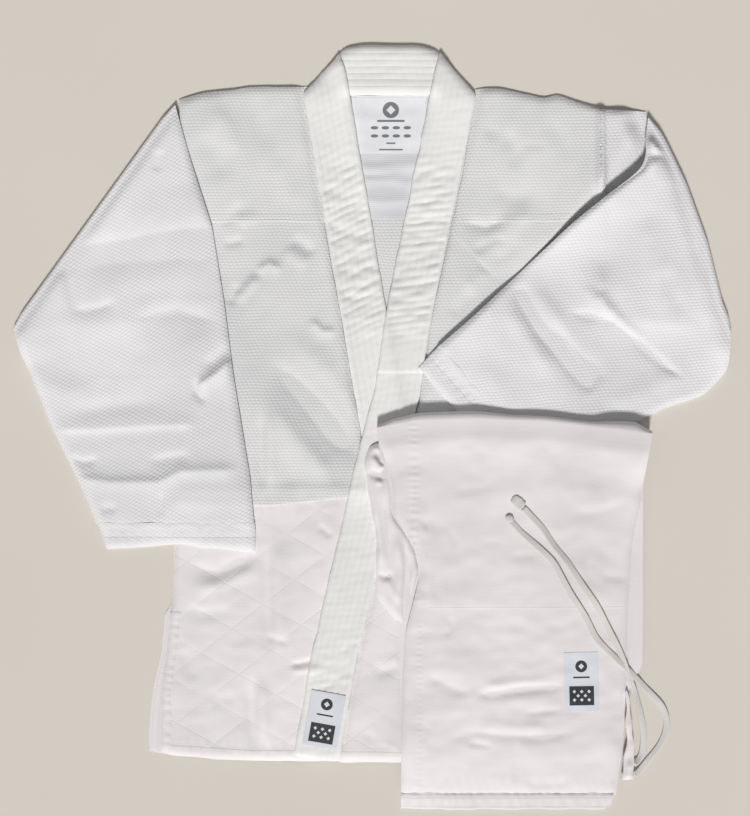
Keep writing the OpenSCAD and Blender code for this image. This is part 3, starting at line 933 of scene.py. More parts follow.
# lining and label inside the back of the neck
folds = np.zeros_like(RX)
creases(folds, [
    ((-50, 287, 0, 284, 80, 288), 1.6, 7),
    ((-45, 268, 10, 272, 70, 262), 1.4, 6),
    ((-20, 277, 20, 276), -1.0, 4),
    ((-40, 250, 10, 247, 60, 252), 1.0, 5),
    ((-20, 190, 15, 186, 40, 192), 1.2, 8),
])
lining = rounded(OUTLINE["neck_lining"], 2.5 * MM, seed=3)
opening = np.clip(2 * blur(coverage(mm([(-31, 400), (14, 129), (67, 400)])), 5 * MM) - 0.25, 0, 1)
folds += rumple(10, 9, 0.25, 3.0, 0)
mid = lay(lining, LINING_T, sag=2, relief=np.maximum(2.2 * MM + folds, 0) * opening)
panel("neck_lining_cloth", lining, mid, LINING_T, FINE, m_lining, "jacket", ["neck_lining"])
label = rounded(OUTLINE["neck_label"], 1.5 * MM, rounds=1)
mid = lay(label, LABEL_T, sag=2)


def label_uv(cx, cy, angle):
    """Label coordinates: metres from its middle, turned with it."""
    def at(p):
        return grain(p, angle, (cx * MM, cy * MM))
    return at


m_neck_label = label_material(
    "neck_label_print", [("disc", 2, 18, 9, 9), ("hole", 2, 18, 5, 5), ("box", 2, 6, 15, 1.2)]
    + [("disc", x, y, 4.2, 1.9) for x in (-16, -4, 8, 20) for y in (-1.5, -10.5)]
    + [("box", 2, -18.5, 5, 0.9), ("box", 2, -25.5, 13, 0.9)],
    pale=(rgb(236, 236, 239), rgb(222, 222, 226)), dark=rgb(118, 120, 126))
panel("neck_label_cloth", label, mid, LABEL_T, 1.6 * MM, m_neck_label, "jacket", ["neck_label"],
      uv=label_uv(17, 330, 0))

# right side of the sleeve roots, flat under the front
r_root_front = lay(r_root_loop, WEAVE_T, sag=2)

def union_pillow(loops, sigma=4.0):
    """pillow for several pieces that are sewn together."""
    mask = np.clip(sum(coverage(loop) for loop in loops), 0, 1)
    return np.clip(2 * blur(mask, sigma * MM) - 1, 0, 1)


# right front
body = rumple(11, 34, 0.6, 1.8, 60) + rumple(111, 12, 0.12, 1.8, 40)
creases(body, [
    ((-118, 80, -66, 25, -14, -42), -8.0, 12, 15, 1.5),
    ((-126, 38, -88, -12, -40, -62), 4.0, 12, 18),
    ((-104, 108, -50, 62, 0, 0), 2.4, 14, 12),
    ((-123, 26, -123, -30, -121, -78), -2.6, 6, 6, 1.5),
    ((-114, 22, -113, -30, -112, -80), 2.4, 7),
    ((-96, 10, -94, -40, -90, -78), -1.2, 8),
    ((-60, -30, -50, -60, -46, -80), 1.2, 8),
    ((-130, 170, -114, 179, -99, 171), 3.0, 5, 7, 1.5),
    ((-124, 168, -152, 136), 3.2, 6),
    ((-146, 158, -160, 132), -1.8, 6),
    ((-70, 120, -56, 105, -38, 105), 2.8, 4, 6, 1.5),
    ((-92, 208, -62, 189), -2.4, 7),
    ((-100, 196, -70, 176), 1.8, 8),
    ((-166, 220, -152, 239, -134, 242), -2.4, 3, 5, 1.5),
    ((-148, 222, -128, 234), 1.6, 6),
    ((-166, 200, -140, 206), -1.8, 5),
    ((-150, 110, -120, 150, -100, 190), 1.4, 12),
    ((-196, 322, -172, 300, -160, 268), -2.0, 10, 16),
    ((-178, 352, -160, 330, -146, 296), 2.6, 9, 14),
    ((-132, 366, -128, 340, -110, 300), -1.6, 9, 12),
    ((-110, 300, -96, 262, -70, 240), 1.6, 12),
])
skirt = rumple(12, 26, 0.5, 1.6, 80) + rumple(121, 9, 0.16, 1.8, 0)
creases(skirt, [
    ((-104, -110, -106, -180, -103, -255), 3.4, 12, 8),
    ((-118, -120, -115, -180, -114, -256), -2.6, 9, 8),
    ((-136, -272, -134, -310, -132, -362), -2.6, 8, 7),
    ((-122, -270, -122, -310, -119, -352), 3.0, 8, 7),
    ((-212, -148, -172, -160, -122, -136), -4.2, 10, 14, 1.4),
    ((-200, -180, -160, -169, -120, -150), 2.6, 8),
    ((-212, -196, -190, -204, -150, -200), -1.8, 6, 10),
    ((-210, -240, -196, -280), -1.8, 9),
    ((-160, -118, -120, -112), -1.4, 8),
    ((-96, -262, -76, -258, -60, -256), -2.0, 3),
    ((-92, -268, -72, -266, -60, -266), 1.4, 3),
    ((-62, -107, -44, -121), -1.6, 4),
    ((-120, -228, -90, -238), -1.2, 4),
    ((-180, -300, -150, -296), -1.0, 8),
])
wide = soft((RY + 0.10) / 0.04)
right_relief = union_pillow([OUTLINE["right_front_body"], OUTLINE["right_front_skirt"]], 3.2)
right_relief = right_relief * np.maximum(3.6 * MM + body * wide + skirt * (1 - wide), 0)


quilt_wear = rumple(22, 16, 0.6)


def quilted(x, y):
    """Cloth puffed up between the slanting lines of stitching."""
    low = np.full(x.shape, 1e9)
    for angle, gap, offset in QUILT:
        c, s = math.cos(math.radians(angle)), math.sin(math.radians(angle))
        a = (-x * s + y * c + offset * MM) / (gap * MM)
        low = np.minimum(low, np.abs(a - np.floor(a) - 0.5) * gap * MM)
    wear = 0.35 + 0.65 * soft(sample(quilt_wear, x, y) / MM + 0.5)
    return 0.5 * MM * wear * (1 - np.exp(-(low / (4.5 * MM)) ** 1.2))


hem_noise = rumple(21, 7, 1.0)


def hem_relief(line, at, puff=0.35):
    """A turned hem: thicker cloth beside an edge, drawn in along its line of stitching."""
    def f(x, y):
        d, _, along, _ = near(x, y, line)
        wave = np.sin(along / (1.5 * MM) + 2.5 * np.sin(along / 0.013))
        return (puff * MM * (1 - soft((d - at * MM) / (1.5 * MM))) * soft(d / (1.2 * MM))
                - 0.35 * MM * np.exp(-((d - at * MM) / (1.2 * MM)) ** 2)
                + 0.3 * MM * wave * np.exp(-((d - at * MM) / (5 * MM)) ** 2)
                + 0.25 * MM * sample(hem_noise, x, y) / MM * np.exp(-(d / (9 * MM)) ** 2))
    return f


right_hem = mm([(-223, -361), (-133, -367), (60, -367)])
left_hem = mm([(-36, -367.5), (29, -368), (250, -364)])
right_skirt = smooth("right_front_skirt", seed=5, loop=skirt_up("right_front_skirt"))
mid = lay(right_skirt, SKIRT_T, relief=right_relief)
hem_r, hem_l = hem_relief(right_hem, 14), hem_relief(left_hem, 14)
m_skirt_hem = cloth("quilted_skirt_hemmed", SKIRT, SKIRT_SHADE, FIRM, 0.1, kind="plain",
                    quilt=QUILT, stitch=(13.0,))
panel("right_front_skirt_cloth", right_skirt, mid, SKIRT_T, FINE, m_skirt_hem, "jacket", ["right_front_skirt"],
      stitch=right_hem, fine=lambda x, y: quilted(x, y) + hem_r(x, y) + waist_puckers(x, y))
right_body = smooth("right_front_body", loop=overlap_down(OUTLINE["right_front_body"]), seed=6)
over_seam = np.exp(-((RY + 0.072) / 0.009) ** 2)
mid = lay(right_body, WEAVE_T, sag=4, relief=right_relief * (RY > -0.070))
mid = mid + (blur(mid, 5 * MM) - mid) * over_seam
panel("right_front_body_cloth", right_body, mid, WEAVE_T, FINE, m_body_painted_shade, "jacket", ["right_front_body"],
      fine=waist_puckers, drop=1.5 * MM)


def over_shoulder(node):
    """A shoulder patch's outline, taken just past the edge of the body panel under it."""
    loop = OUTLINE[node].copy()
    inner = np.abs(loop[:, 0]) < 0.135
    loop[loop[:, 1] > 0.335, 1] += 3.8 * MM
    loop[inner, 0] -= np.sign(loop[inner, 0]) * 6 * MM
    corner = (loop[:, 0] > 0.24)
    loop[corner, 0] += 7.5 * MM
    loop[corner & (loop[:, 1] > 0.335), 1] -= 6.5 * MM
    loop[(loop[:, 0] < -0.195) & (loop[:, 1] > 0.335), 0] -= 3.0 * MM
    return loop


right_patch = smooth("right_shoulder_patch", seed=7, loop=over_shoulder("right_shoulder_patch"))
mid = lay(right_patch, PATCH_T, sag=2)
panel("right_shoulder_patch_cloth", right_patch, mid, PATCH_T, MEDIUM, m_patch_painted_shade, "jacket",
      ["right_shoulder_patch"], stitch=mm([(-211, 225), (-57, 225)]), drop=1.6 * MM)
facing = smooth("right_vent_facing", seed=8)
right_vent = mm([(-223, -203), (-227, -247), (-233, -289), (-234, -357)])
mid = lay(facing, FACING_T, sag=2)
panel("right_vent_facing_cloth", facing, mid, FACING_T, FINE, m_facing, "jacket", ["right_vent_facing"],
      stitch=right_vent, fine=hem_relief(right_vent, 9.5))

# collar and lapels
NECK_RISE = 5.0 * MM * soft((RY - 0.270) / 0.11)
puckers = rumple(31, 5.2, 1.0, 2.4, 12) / MM


def lapel(name, loop, middle, centre_line, nodes, seed, join=None):
    """A stretch of the padded band round the neck, with its rows of stitching. join is the height of its seam."""
    def band(x, y):
        d, side, along, _ = near(x, y, centre_line)
        return along, d * side

    def fine(x, y):
        along, across = band(x, y)
        f = (across / (BAND_ROW * MM)) % 1.0
        row = np.exp(-((np.abs(f - 0.5) * BAND_ROW) / 1.1) ** 2)
        strong = soft((y - 0.085) / 0.04) * soft((0.315 - y) / 0.05)
        low = soft((-0.225 - y) / 0.02) * soft((y + 0.30) / 0.02)
        amount = 0.10 + 0.55 * strong + 0.30 * low
        edge = soft((0.0245 - np.abs(across)) / 0.004)
        z = -0.35 * MM * row + sample(puckers, x, y) * MM * amount * edge * 0.9
        wave = np.sin(along / (1.35 * MM) + 2 * np.sin(along / 0.017) + across / 0.004)
        z += 0.2 * MM * wave * (0.3 + strong) * edge
        if join is not None:
            s = y - join
            z += 0.5 * MM * np.tanh(s / (0.8 * MM)) - 0.4 * MM * np.exp(-(s / (1.0 * MM)) ** 2)
        return z

    def uv(p):
        along, across = band(p[:, 0], p[:, 1])
        return np.stack([along, across], 1)

    panel(name, loop, middle, BAND_T, 1.7 * MM, m_band, "jacket", nodes, uv=uv, fine=fine,
          drop=1.2 * MM, rim=0.3, seed=seed)


def lapel_relief(loop):
    """A lapel's own height: padded, and raised towards the neck."""
    return NECK_RISE * pillow(loop, 5) + 1.0 * MM * pillow(loop, 3)


def centre_of_band(edge, offset):
    """The middle line of a band, from one of its edges, run on past both ends."""
    line = resample(mm(edge), 3 * MM)
    for _ in range(30):
        line[1:-1] = 0.5 * line[1:-1] + 0.25 * (line[:-2] + line[2:])
    line = np.vstack([line[0] + (line[0] - line[2]) * 8, line, line[-1] + (line[-1] - line[-3]) * 3])
    return shifted(line, offset * MM)


neck_band = mm([(72, 364), (78, 404), (68.4, 414.3), (52.7, 419.2), (-12.4, 419.9), (-31.5, 416.5), (-42, 404),
                (-34, 364)])
neck_band = rounded(neck_band, 2 * MM, wave=0.3, seed=9, rounds=4)
mid = lay(neck_band, BAND_T, sag=5, relief=(NECK_RISE + 1.5 * MM) * pillow(neck_band, 5) ** 0.8)
band_line = mm([(-60, 391), (17, 391.5), (100, 391)])
lapel("neck_band_cloth", neck_band, mid, band_line, ["neck_band"], 41)
right_lapel = clipped(OUTLINE["right_lapel"], (-73, 371), (-31.5, 416.5))
right_lapel = rounded(right_lapel, 2 * MM, wave=0.3, seed=10, sharp=100)
mid = lay(right_lapel, BAND_T, sag=5, relief=lapel_relief(right_lapel))
right_line = centre_of_band([(-31, 392), (14, 129), (36, -3), (58, -100), (92, -243), (112, -359)], -25)
lapel("right_lapel_cloth", right_lapel, mid, right_line, ["right_lapel"], 42)

# left front, over the right lapel
LIP = [(298, 346), (270, 308), (240, 267), (210, 226), (177, 185), (152, 162)]
left = rumple(13, 34, 0.6, 1.8, -60) + rumple(131, 12, 0.12, 1.8, 40)
lip_d, lip_side, _, _ = near(RX, RY, mm(LIP))
hollow = np.clip((RY - 0.185) * 0.36, 3 * MM, 30 * MM)
fall = np.where(lip_side > 0, soft(lip_d / hollow), 0)
reach = soft((RY - 0.150) / 0.03) * (RX + RY > 0.30) * (RX + RY < 0.665)
wedge = fall * reach
rise = np.where(lip_side > 0, 1 - fall, np.exp(-(lip_d / 0.034) ** 1.4))
lip = 6.5 * MM * rise * soft((RY - 0.152) / 0.06) * soft((0.358 - RY) / 0.012) * reach
creases(left, [
    ((145, 330, 157, 302, 154, 280), -2.8, 6, 9, 1.5),
    ((120, 330, 140, 318), -1.6, 6),
    ((158, 309, 194, 309), -1.2, 3),
    ((96, 226, 125, 219, 146, 230), -3.2, 6, 9, 1.5),
    ((116, 196, 150, 222, 182, 242), 2.4, 11),
    ((104, 190, 134, 206, 150, 200), -1.6, 6),
    ((130, 262, 156, 250, 180, 262), -1.4, 8),
    ((128, 178, 165, 205), -1.2, 8),
    ((100, 150, 125, 175), 1.5, 9),
    ((84, 120, 110, 150), -1.2, 8),
    ((180, 340, 205, 320, 215, 290), -1.2, 9),
])
left_skirt_relief = rumple(14, 24, 0.4, 1.6, 80)
creases(left_skirt_relief, [
    ((-16, -330, 4, -345, 24, -352), -1.2, 5),
    ((0, -272, 14, -267, 30, -262), -1.6, 7, 5),
    ((0, -258, 16, -256, 30, -252), 1.0, 6),
    ((-4, -344, 12, -346, 30, -352), 1.0, 3),
])
left_loops = [OUTLINE["left_front_body"], OUTLINE["left_front_skirt"], l_root_loop]
left_relief = np.maximum(3.4 * MM + left * wide + left_skirt_relief * (1 - wide), 0)
left_relief = union_pillow(left_loops, 3.2) * left_relief
left_relief = left_relief * (1 - wedge) + lip
left_skirt = smooth("left_front_skirt", seed=15, loop=skirt_up("left_front_skirt"))
mid = lay(left_skirt, SKIRT_T, sag=11, relief=left_relief)
panel("left_front_skirt_cloth", left_skirt, mid, SKIRT_T, MEDIUM, m_skirt_hem, "jacket", ["left_front_skirt"],
      stitch=left_hem, fine=lambda x, y: quilted(x, y) + hem_l(x, y) + waist_puckers(x, y))
left_body = smooth("left_front_body", loop=overlap_down(OUTLINE["left_front_body"]), seed=16)
mid = lay(left_body, WEAVE_T, sag=11, relief=left_relief * (RY > -0.070))
mid = mid + (blur(mid, 5 * MM) - mid) * over_seam
by_fold_low = soft((near(RX, RY, left_fold)[0] - 0.010) / 0.022)
l_root_front = lay(l_root_loop, WEAVE_T, sag=2, relief=left_relief * by_fold_low)
armhole = (RX > 0.2465) & (RY > 0.11)
left_body = np.where((left_body[:, :1] > 0.2475) & (left_body[:, 1:] > 0.114), left_body + mm([(3, -3)]), left_body)
mid = np.where(armhole, np.maximum(mid, l_root_front + WEAVE_T + 0.1 * MM), mid)
heap = np.where(armhole & (RX < 0.254), np.maximum(heap, mid + WEAVE_T / 2), heap)
panel("left_front_body_cloth", left_body, mid, WEAVE_T, FINE, m_body_painted_shade, "jacket", ["left_front_body"],
      fine=waist_puckers, drop=1.5 * MM)
left_patch = smooth("left_shoulder_patch", seed=17, loop=over_shoulder("left_shoulder_patch"))
mid = lay(left_patch, PATCH_T, sag=2)
panel("left_shoulder_patch_cloth", left_patch, mid, PATCH_T, FINE, m_patch_painted_shade, "jacket", ["left_shoulder_patch"],
      stitch=mm([(96, 225), (254, 225)]), drop=1.0 * MM)
facing = smooth("left_vent_facing", seed=18)
mid = lay(facing, FACING_T, sag=2)
panel("left_vent_facing_cloth", facing, mid, FACING_T, MEDIUM, m_facing, "jacket", ["left_vent_facing"],
      stitch=mm([(256, -203), (258, -247), (260, -289), (262, -357)]))
left_lapel = clipped(OUTLINE["left_lapel"], (68.4, 416), (107.5, 371))
left_lapel = rounded(left_lapel, 2 * MM, wave=0.3, seed=19, sharp=100)
mid = lay(left_lapel, BAND_T, sag=6, relief=lapel_relief(left_lapel))
left_line = centre_of_band(
    [(67, 388), (14, 129), (2, 45), (-24, -56), (-33, -100), (-67, -243), (-87, -359)], 25)
lapel("left_lapel_cloth", left_lapel, mid, left_line, ["left_lapel"], 43, join=0.060)
label = rounded(OUTLINE["lapel_label"], 1.5 * MM, rounds=1)
mid = lay(label, LABEL_T, sag=2)
panel("lapel_label_cloth", label, mid, LABEL_T, 1.5 * MM, m_label, "jacket", ["lapel_label"],
      uv=label_uv(-54, -320, -10))


# ---------------------------------------------------------------- sleeves
def fold_least(fold, z, near_by=16.0, far=46.0):
    """The least height of a ply, so that its fold stays round its hinge: z by the fold, 0 far from it."""
    d, _, _, _ = near(RX, RY, fold)
    return z * MM * (1 - soft((d - near_by * MM) / ((far - near_by) * MM)))


STRIP = 12 * MM  # how wide the strip of cloth by a sleeve's fold is, that goes into the fold's own piece
R_GRAIN, L_GRAIN = 38, 4  # each sleeve's grain, in degrees
right_sleeve = rumple(15, 40, 0.5, 1.8, 10) + rumple(151, 12, 0.1, 2.0, 10)
creases(right_sleeve, [
    ((-352, 184, -320, 192, -254, 202, -218, 208, -150, 213), -6.0, 16, 40, 1.05, 0.06),
    ((-330, 150, -250, 166, -170, 170), 1.8, 18, 16),
    ((-332, 127, -300, 131, -280, 139), -2.6, 4, 9, 1.4),
    ((-276, 116, -214, 127, -160, 112), -3.2, 8, 18, 1.3),
    ((-196, 42, -172, 58, -155, 73, -142, 86), 5.5, 5, 9, 1.3, 0.18),
    ((-188, 62, -168, 78, -150, 92), -2.2, 7),
    ((-192, 56, -194, 38, -182, 24), -2.4, 4),
    ((-392, 68, -345, 40, -300, 30), 1.6, 14),
    ((-352, -2, -308, -2, -240, 2, -190, 3), 2.6, 18, 4, 1.3, 0.12),
    ((-346, 12, -290, 22, -220, 28), -1.6, 10),
    ((-335, -32, -318, -38, -300, -35), -2.0, 4, 6),
    ((-250, -38, -214, -32, -196, -30), -2.0, 5, 8),
    ((-332, -54, -290, -60, -235, -60, -210, -48, -140, -46), 4.0, 7, 12, 1.3, 0.14),
    ((-300, -92, -290, -88, -280, -92), -1.6, 5),
    ((-234, 305, -238, 278), -1.6, 6),
    ((-232, -70, -234, -100), -1.0, 5),
])


def tucked(loop, line, by):
    """A hem's outline, with its seam side moved over the cloth that it ends."""
    d, _, _, _ = near(loop[:, 0], loop[:, 1], mm(line))
    return loop + np.where(d < 2.5 * MM, 1.0, 0.0)[:, None] * mm(by)


R_CUFF = [(-303.4, -106), (-130.6, -106)]  # the cuffs' seams
L_CUFF = [(70.7, 88.0), (188, -42.6)]
r_cuff = tucked(OUTLINE["right_cuff_hem"], R_CUFF, (0, 2.8))
r_cuff = rounded(r_cuff, 2 * MM, wave=0.4, seed=51, rounds=3)
r_lift = union_pillow([r_low_loop, r_cuff], 3.5)
by_fold = soft((near(RX, RY, right_fold)[0] - 0.001) / 0.012)
lower_front = lay(r_low_loop, WEAVE_T, sag=9, least=fold_least(right_fold, 4.75), relief=0.8 * MM * r_lift * by_fold)
lower_back = lay(r_low_loop, WEAVE_T, sag=7, least=fold_least(right_fold, 6.55),
         relief=r_lift * np.maximum(3.2 * MM + right_sleeve, 0) * by_fold)
folded("right_sleeve_front_cloth", right_fold, r_root_rest, r_low_rest, r_root_front, lower_front, WEAVE_T,
       (COARSE, 5 * MM), STRIP, m_weave, ("jacket", "right_sleeve"),
       ["right_sleeve_root_front"], ["right_sleeve_front"], angle=R_GRAIN)


R_RIDGE = [(-200, 291), (-177, 220), (-164, 139), (-154, 60), (-144, -2), (-135, -57), (-130.7, -106.7)]


def ridge_seam(line, height):
    """A thin ridge just inside a seam."""
    def f(x, y):
        d, _, _, _ = near(x, y, mm(line))
        return height * MM * np.exp(-((d - 3.0 * MM) / (1.6 * MM)) ** 2)
    return f


folded("right_sleeve_back_cloth", right_fold, r_root_rest, r_low_rest, r_root_back, lower_back, WEAVE_T,
       (COARSE, FINE), STRIP, m_weave, ("jacket", "right_sleeve"),
       ["right_sleeve_root_back"], ["right_sleeve_back"], angle=R_GRAIN,
       fine=ridge_seam(R_RIDGE, 0.25), drop=2.0 * MM)


def cuff(node, body, line, loop, top_ply, angle):
    """A hem over both plies' ends, level with the top ply."""
    base = sample(heap, RX, RY)
    top = top_ply + WEAVE_T / 2 + 0.45 * MM
    deep = np.clip(top - blur(base, 3 * MM) - 0.2 * MM, 1.6 * MM, 3.2 * MM)
    line = mm(line)
    panel(node + "_cloth", loop, top - deep / 2, 2.6 * MM, FINE, m_weave_hem, body, [node],
          stitch=line, fine=hem_relief(line, 13.0, puff=0.15), angle=angle, rim=0.4,
          thick=lambda x, y: sample(deep, x, y), drop=0.8 * MM)


cuff("right_cuff_hem", "right_sleeve", R_CUFF, r_cuff, lower_back, R_GRAIN)

left_sleeve = rumple(16, 40, 0.5, 1.8, -40) + rumple(161, 12, 0.1, 2.0, -20)
RIDGE = [(303, 296), (294, 283), (223, 223), (177, 184), (153, 164), (146, 156), (103, 111), (50, 64)]
creases(left_sleeve, [
    ((152, 158, 181, 108, 199, 87, 218, 65, 230, 53, 242, 36), -7.0, 12, 7, 1.25, 0.14),
    ((160, 166, 200, 118, 226, 74, 252, 40), 3.0, 10),
    ((140, 140, 172, 92, 200, 50), 2.4, 9),
    ((190, 120, 217, 90, 246, 58, 262, 50), -3.6, 8, 12, 1.3),
    ((226, 160, 250, 134, 272, 112, 300, 90), 3.6, 7, 8),
    ((212, 126, 241, 122, 262, 116, 286, 98, 320, 68, 343, 52), -4.2, 3.5, 6, 1.25, 0.15),
    ((262, 250, 256, 205, 246, 158), -3.8, 16, 22, 1.5),
    ((246, 150, 262, 120), 1.6, 8),
    ((328, 300, 347, 222, 362, 150), -3.4, 9, 11, 1.5),
    ((318, 180, 326, 150, 340, 120), -2.0, 10),
    ((296, 232, 306, 190, 318, 150), 2.0, 14),
    ((250, 20, 300, 40, 352, 70), 1.6, 12),
    ((300, 318, 306, 304, 322, 298), 5.5, 5, 4),
    ((292, 303, 304, 297, 328, 300), -5.0, 4, 6, 1.4),
    ((310, 336, 322, 310), -2.6, 5),
    ((296, 290, 310, 284), 2.4, 7),
    ((100, 80, 140, 40, 170, 0), 1.8, 14),
    ((70, 72, 110, 30, 150, -10), -1.4, 10),
])
l_cuff = tucked(OUTLINE["left_cuff_hem"], L_CUFF, (2.0, 1.8))
l_cuff = rounded(l_cuff, 2 * MM, wave=0.4, seed=52, rounds=3)
l_lift = union_pillow([l_low_loop, l_cuff], 3.5)
ridge_d, _, ridge_at, ridge_run = near(RX, RY, mm(RIDGE))
ridge_h = np.interp(ridge_at / ridge_run, (0, 0.06, 0.3, 0.48, 0.56, 0.62, 0.72, 0.88, 1.0),
                    (9, 15, 14, 5.0, 1.0, 3.0, 7.5, 5.0, 2.0)) * MM
ridge = ridge_h * np.exp(-(ridge_d / 0.022) ** 1.6)
by_fold = soft((near(RX, RY, left_fold)[0] - 0.001) / 0.012)
lower_front = lay(l_low_loop, WEAVE_T, sag=10, least=fold_least(left_fold, 7.8), relief=ridge * by_fold)
lower_back = lay(l_low_loop, WEAVE_T, sag=8, least=fold_least(left_fold, 9.9),
         relief=np.maximum(2.6 * MM + left_sleeve, 0) * np.maximum(l_lift, 0.3) * by_fold)
folded("left_sleeve_front_cloth", left_fold, l_root_rest, l_low_rest, l_root_front, lower_front, WEAVE_T,
       (FINE * 1.4, 5 * MM), STRIP, m_weave, ("jacket", "left_sleeve"),
       ["left_sleeve_root_front"], ["left_sleeve_front"], angle=L_GRAIN, split_lower=True)
folded("left_sleeve_back_cloth", left_fold, l_root_rest, l_low_rest, l_root_back, lower_back, WEAVE_T,
       (COARSE, FINE), STRIP, m_weave, ("jacket", "left_sleeve"),
       ["left_sleeve_root_back"], ["left_sleeve_back"], angle=L_GRAIN,
       fine=ridge_seam(RIDGE, 0.2), drop=2.0 * MM, rounds=20)
cuff("left_cuff_hem", "left_sleeve", L_CUFF, l_cuff, lower_back, L_GRAIN)

# ---------------------------------------------------------------- trousers
KNEE = [(4, -0.5), (50, 7.5), (111, 9.5), (188, 6.5), (250, -0.5), (303, -7)]
knee = facing_in(fold_line(KNEE, FINE), OUTLINE["left_thigh_front"])
leg_rest, waist_rest = (rest_of(OUTLINE[n], OUTLINE[n][:, 1] > -0.012) for n in ("left_leg_front", "left_thigh_front"))
leg_loop = np.vstack([knee, leg_rest])
waist_loop = np.vstack([knee, waist_rest])
patch_loop = rounded(OUTLINE["left_knee_patch_lower"], 3 * MM, seed=61)
patch_loop[:, 1] = np.minimum(patch_loop[:, 1], -0.014)


def knee_patch(node, body, sag):
    """A knee patch that shows only from the side, flat between the legs."""
    panel(node + "_cloth", patch_loop, lay(patch_loop, KNEE_T, sag=sag), KNEE_T, COARSE, m_trouser, body, [node])


knee_patch("left_knee_patch_lower", "trousers_legs", 12)
legs = [lay(leg_loop, COTTON_T, sag=12 if k == 0 else 5, gap=0.2) for k in range(4)]
knee_patch("right_knee_patch_lower", "trousers_legs", 4)
LEG_NODES = ["left_leg_front", "left_leg_back", "right_leg_back", "right_leg_front"]
WAIST_NODES = ["right_thigh_front", "right_thigh_back", "left_thigh_back", "left_thigh_front"]
for name, middles in (("left_leg_hem", legs[:2]), ("right_leg_hem", legs[2:])):
    loop = rounded(tucked(OUTLINE[name], [(33, -392), (263.4, -392)], (0, 3)), 2.5 * MM, wave=0.3, seed=62, rounds=2)
    panel(name + "_cloth", loop, (middles[0] + middles[1]) / 2, 1.7 * MM, MEDIUM, m_trouser_hem, "trousers_legs",
          [name], stitch=mm([(33, -392), (263, -392)]), rim=0.5, spare=1.2)
knee_patch("right_knee_patch_upper", "trousers_waist", 4)

waist = rumple(17, 22, 0.42, 2.2, 2) + rumple(18, 9, 0.24, 1.6, 0)
creases(waist, [
    ((110, -293, 145, -288, 163, -285, 212, -283), -3.0, 4, 6, 1.4, 0.2),
    ((110, -284, 150, -279, 200, -276), 1.6, 6),
    ((112, -292, 145, -288, 165, -285, 190, -284), -1.5, 2.2, 2.8, 1.3),
    ((120, -300, 160, -298, 205, -293), 1.2, 7),
    ((55, -268, 84, -283, 108, -294), -2.0, 8, 8, 1.5),
    ((82, -340, 113, -333, 150, -337, 186, -338, 226, -333), -2.2, 6, 7, 1.4, 0.2),
    ((100, -328, 150, -328, 200, -328), 1.2, 7),
    ((100, -344, 131, -348), -1.3, 3.5),
    ((160, -313, 210, -308), -1.3, 4),
    ((156, -340, 156, -392), -1.0, 6),
    ((166, -393, 222, -389), -1.3, 6),
    ((60, -322, 54, -345), -1.0, 5),
    ((81, -71, 110, -66, 139, -67), -1.4, 5),
    ((210, -94, 245, -92, 282, -80), -2.0, 4, 6, 1.4),
    ((205, -60, 260, -54), -1.2, 9),
    ((112, -126, 146, -124), -1.2, 4),
    ((146, -141, 180, -139), -1.3, 3.5),
    ((246, -162, 280, -166), -2.0, 4),
    ((246, -146, 234, -152, 236, -165, 229, -176), -1.5, 3),
    ((62, -158, 90, -150, 122, -137), 1.2, 8),
    ((52, -112, 64, -104, 76, -116), -2.0, 8),
    ((84, -108, 90, -132), -1.6, 3.5),
    ((68, -160, 72, -196), -1.3, 5),
    ((85, -204, 85, -218, 78, -230), -1.2, 4),
    ((28, -96, 46, -127, 56, -165), -1.8, 3, 4, 1.4),
    ((40, -60, 40, -120), -1.2, 3),
])
w_lift = pillow(waist_loop, 3.5)
thighs = []
for k in range(4):
    least = fold_least(knee, 20.95 + k * 0.98, 18, 80)
    relief = None
    if k == 3:
        relief = w_lift * np.maximum(1.8 * MM + waist, 0) * soft((near(RX, RY, knee)[0] - 0.003) / 0.03)
    thighs.append(lay(waist_loop, COTTON_T, sag=5, gap=0.2, least=least, relief=relief))
SEAM_X, STITCH_X = 0.0435, 0.0525  # the inner leg's seam, and the stitching beside it below the knee


def leg_seams(x, y):
    """The top ply's felled seam with its puckers, and the drawn-in cloth above the waistband."""
    seam = 0.3 * MM * np.exp(-((x - SEAM_X) / 0.004) ** 2) * soft((y + 0.20) / 0.02)
    wave = np.sin(y / (1.2 * MM) + 2 * np.sin(y / 0.011))
    seam += 0.28 * MM * wave * np.exp(-((x - SEAM_X) / 0.006) ** 2) * soft((y + 0.21) / 0.03)
    by_hip = soft((-0.205 - y) / 0.01)
    seam -= 0.35 * MM * np.exp(-((x - STITCH_X) / 0.0011) ** 2) * by_hip
    seam += 0.2 * MM * np.sin(y / (1.0 * MM)) * np.exp(-((x - 0.050) / 0.003) ** 2) * by_hip
    return seam + 0.3 * MM * np.sin(x / (1.9 * MM) + 3 * np.sin(x / 0.019)) * np.exp(-((y + 0.392) / 0.006) ** 2)


for k in range(4):
    top = k == 3
    folded(WAIST_NODES[k] + "_cloth", knee, leg_rest, waist_rest, legs[3 - k], thighs[k], COTTON_T,
           (COARSE, 1.9 * MM if top else COARSE), 15 * MM, m_trouser, ("trousers_legs", "trousers_waist"),
           [LEG_NODES[3 - k]], [WAIST_NODES[k]], fine=leg_seams if top else None)

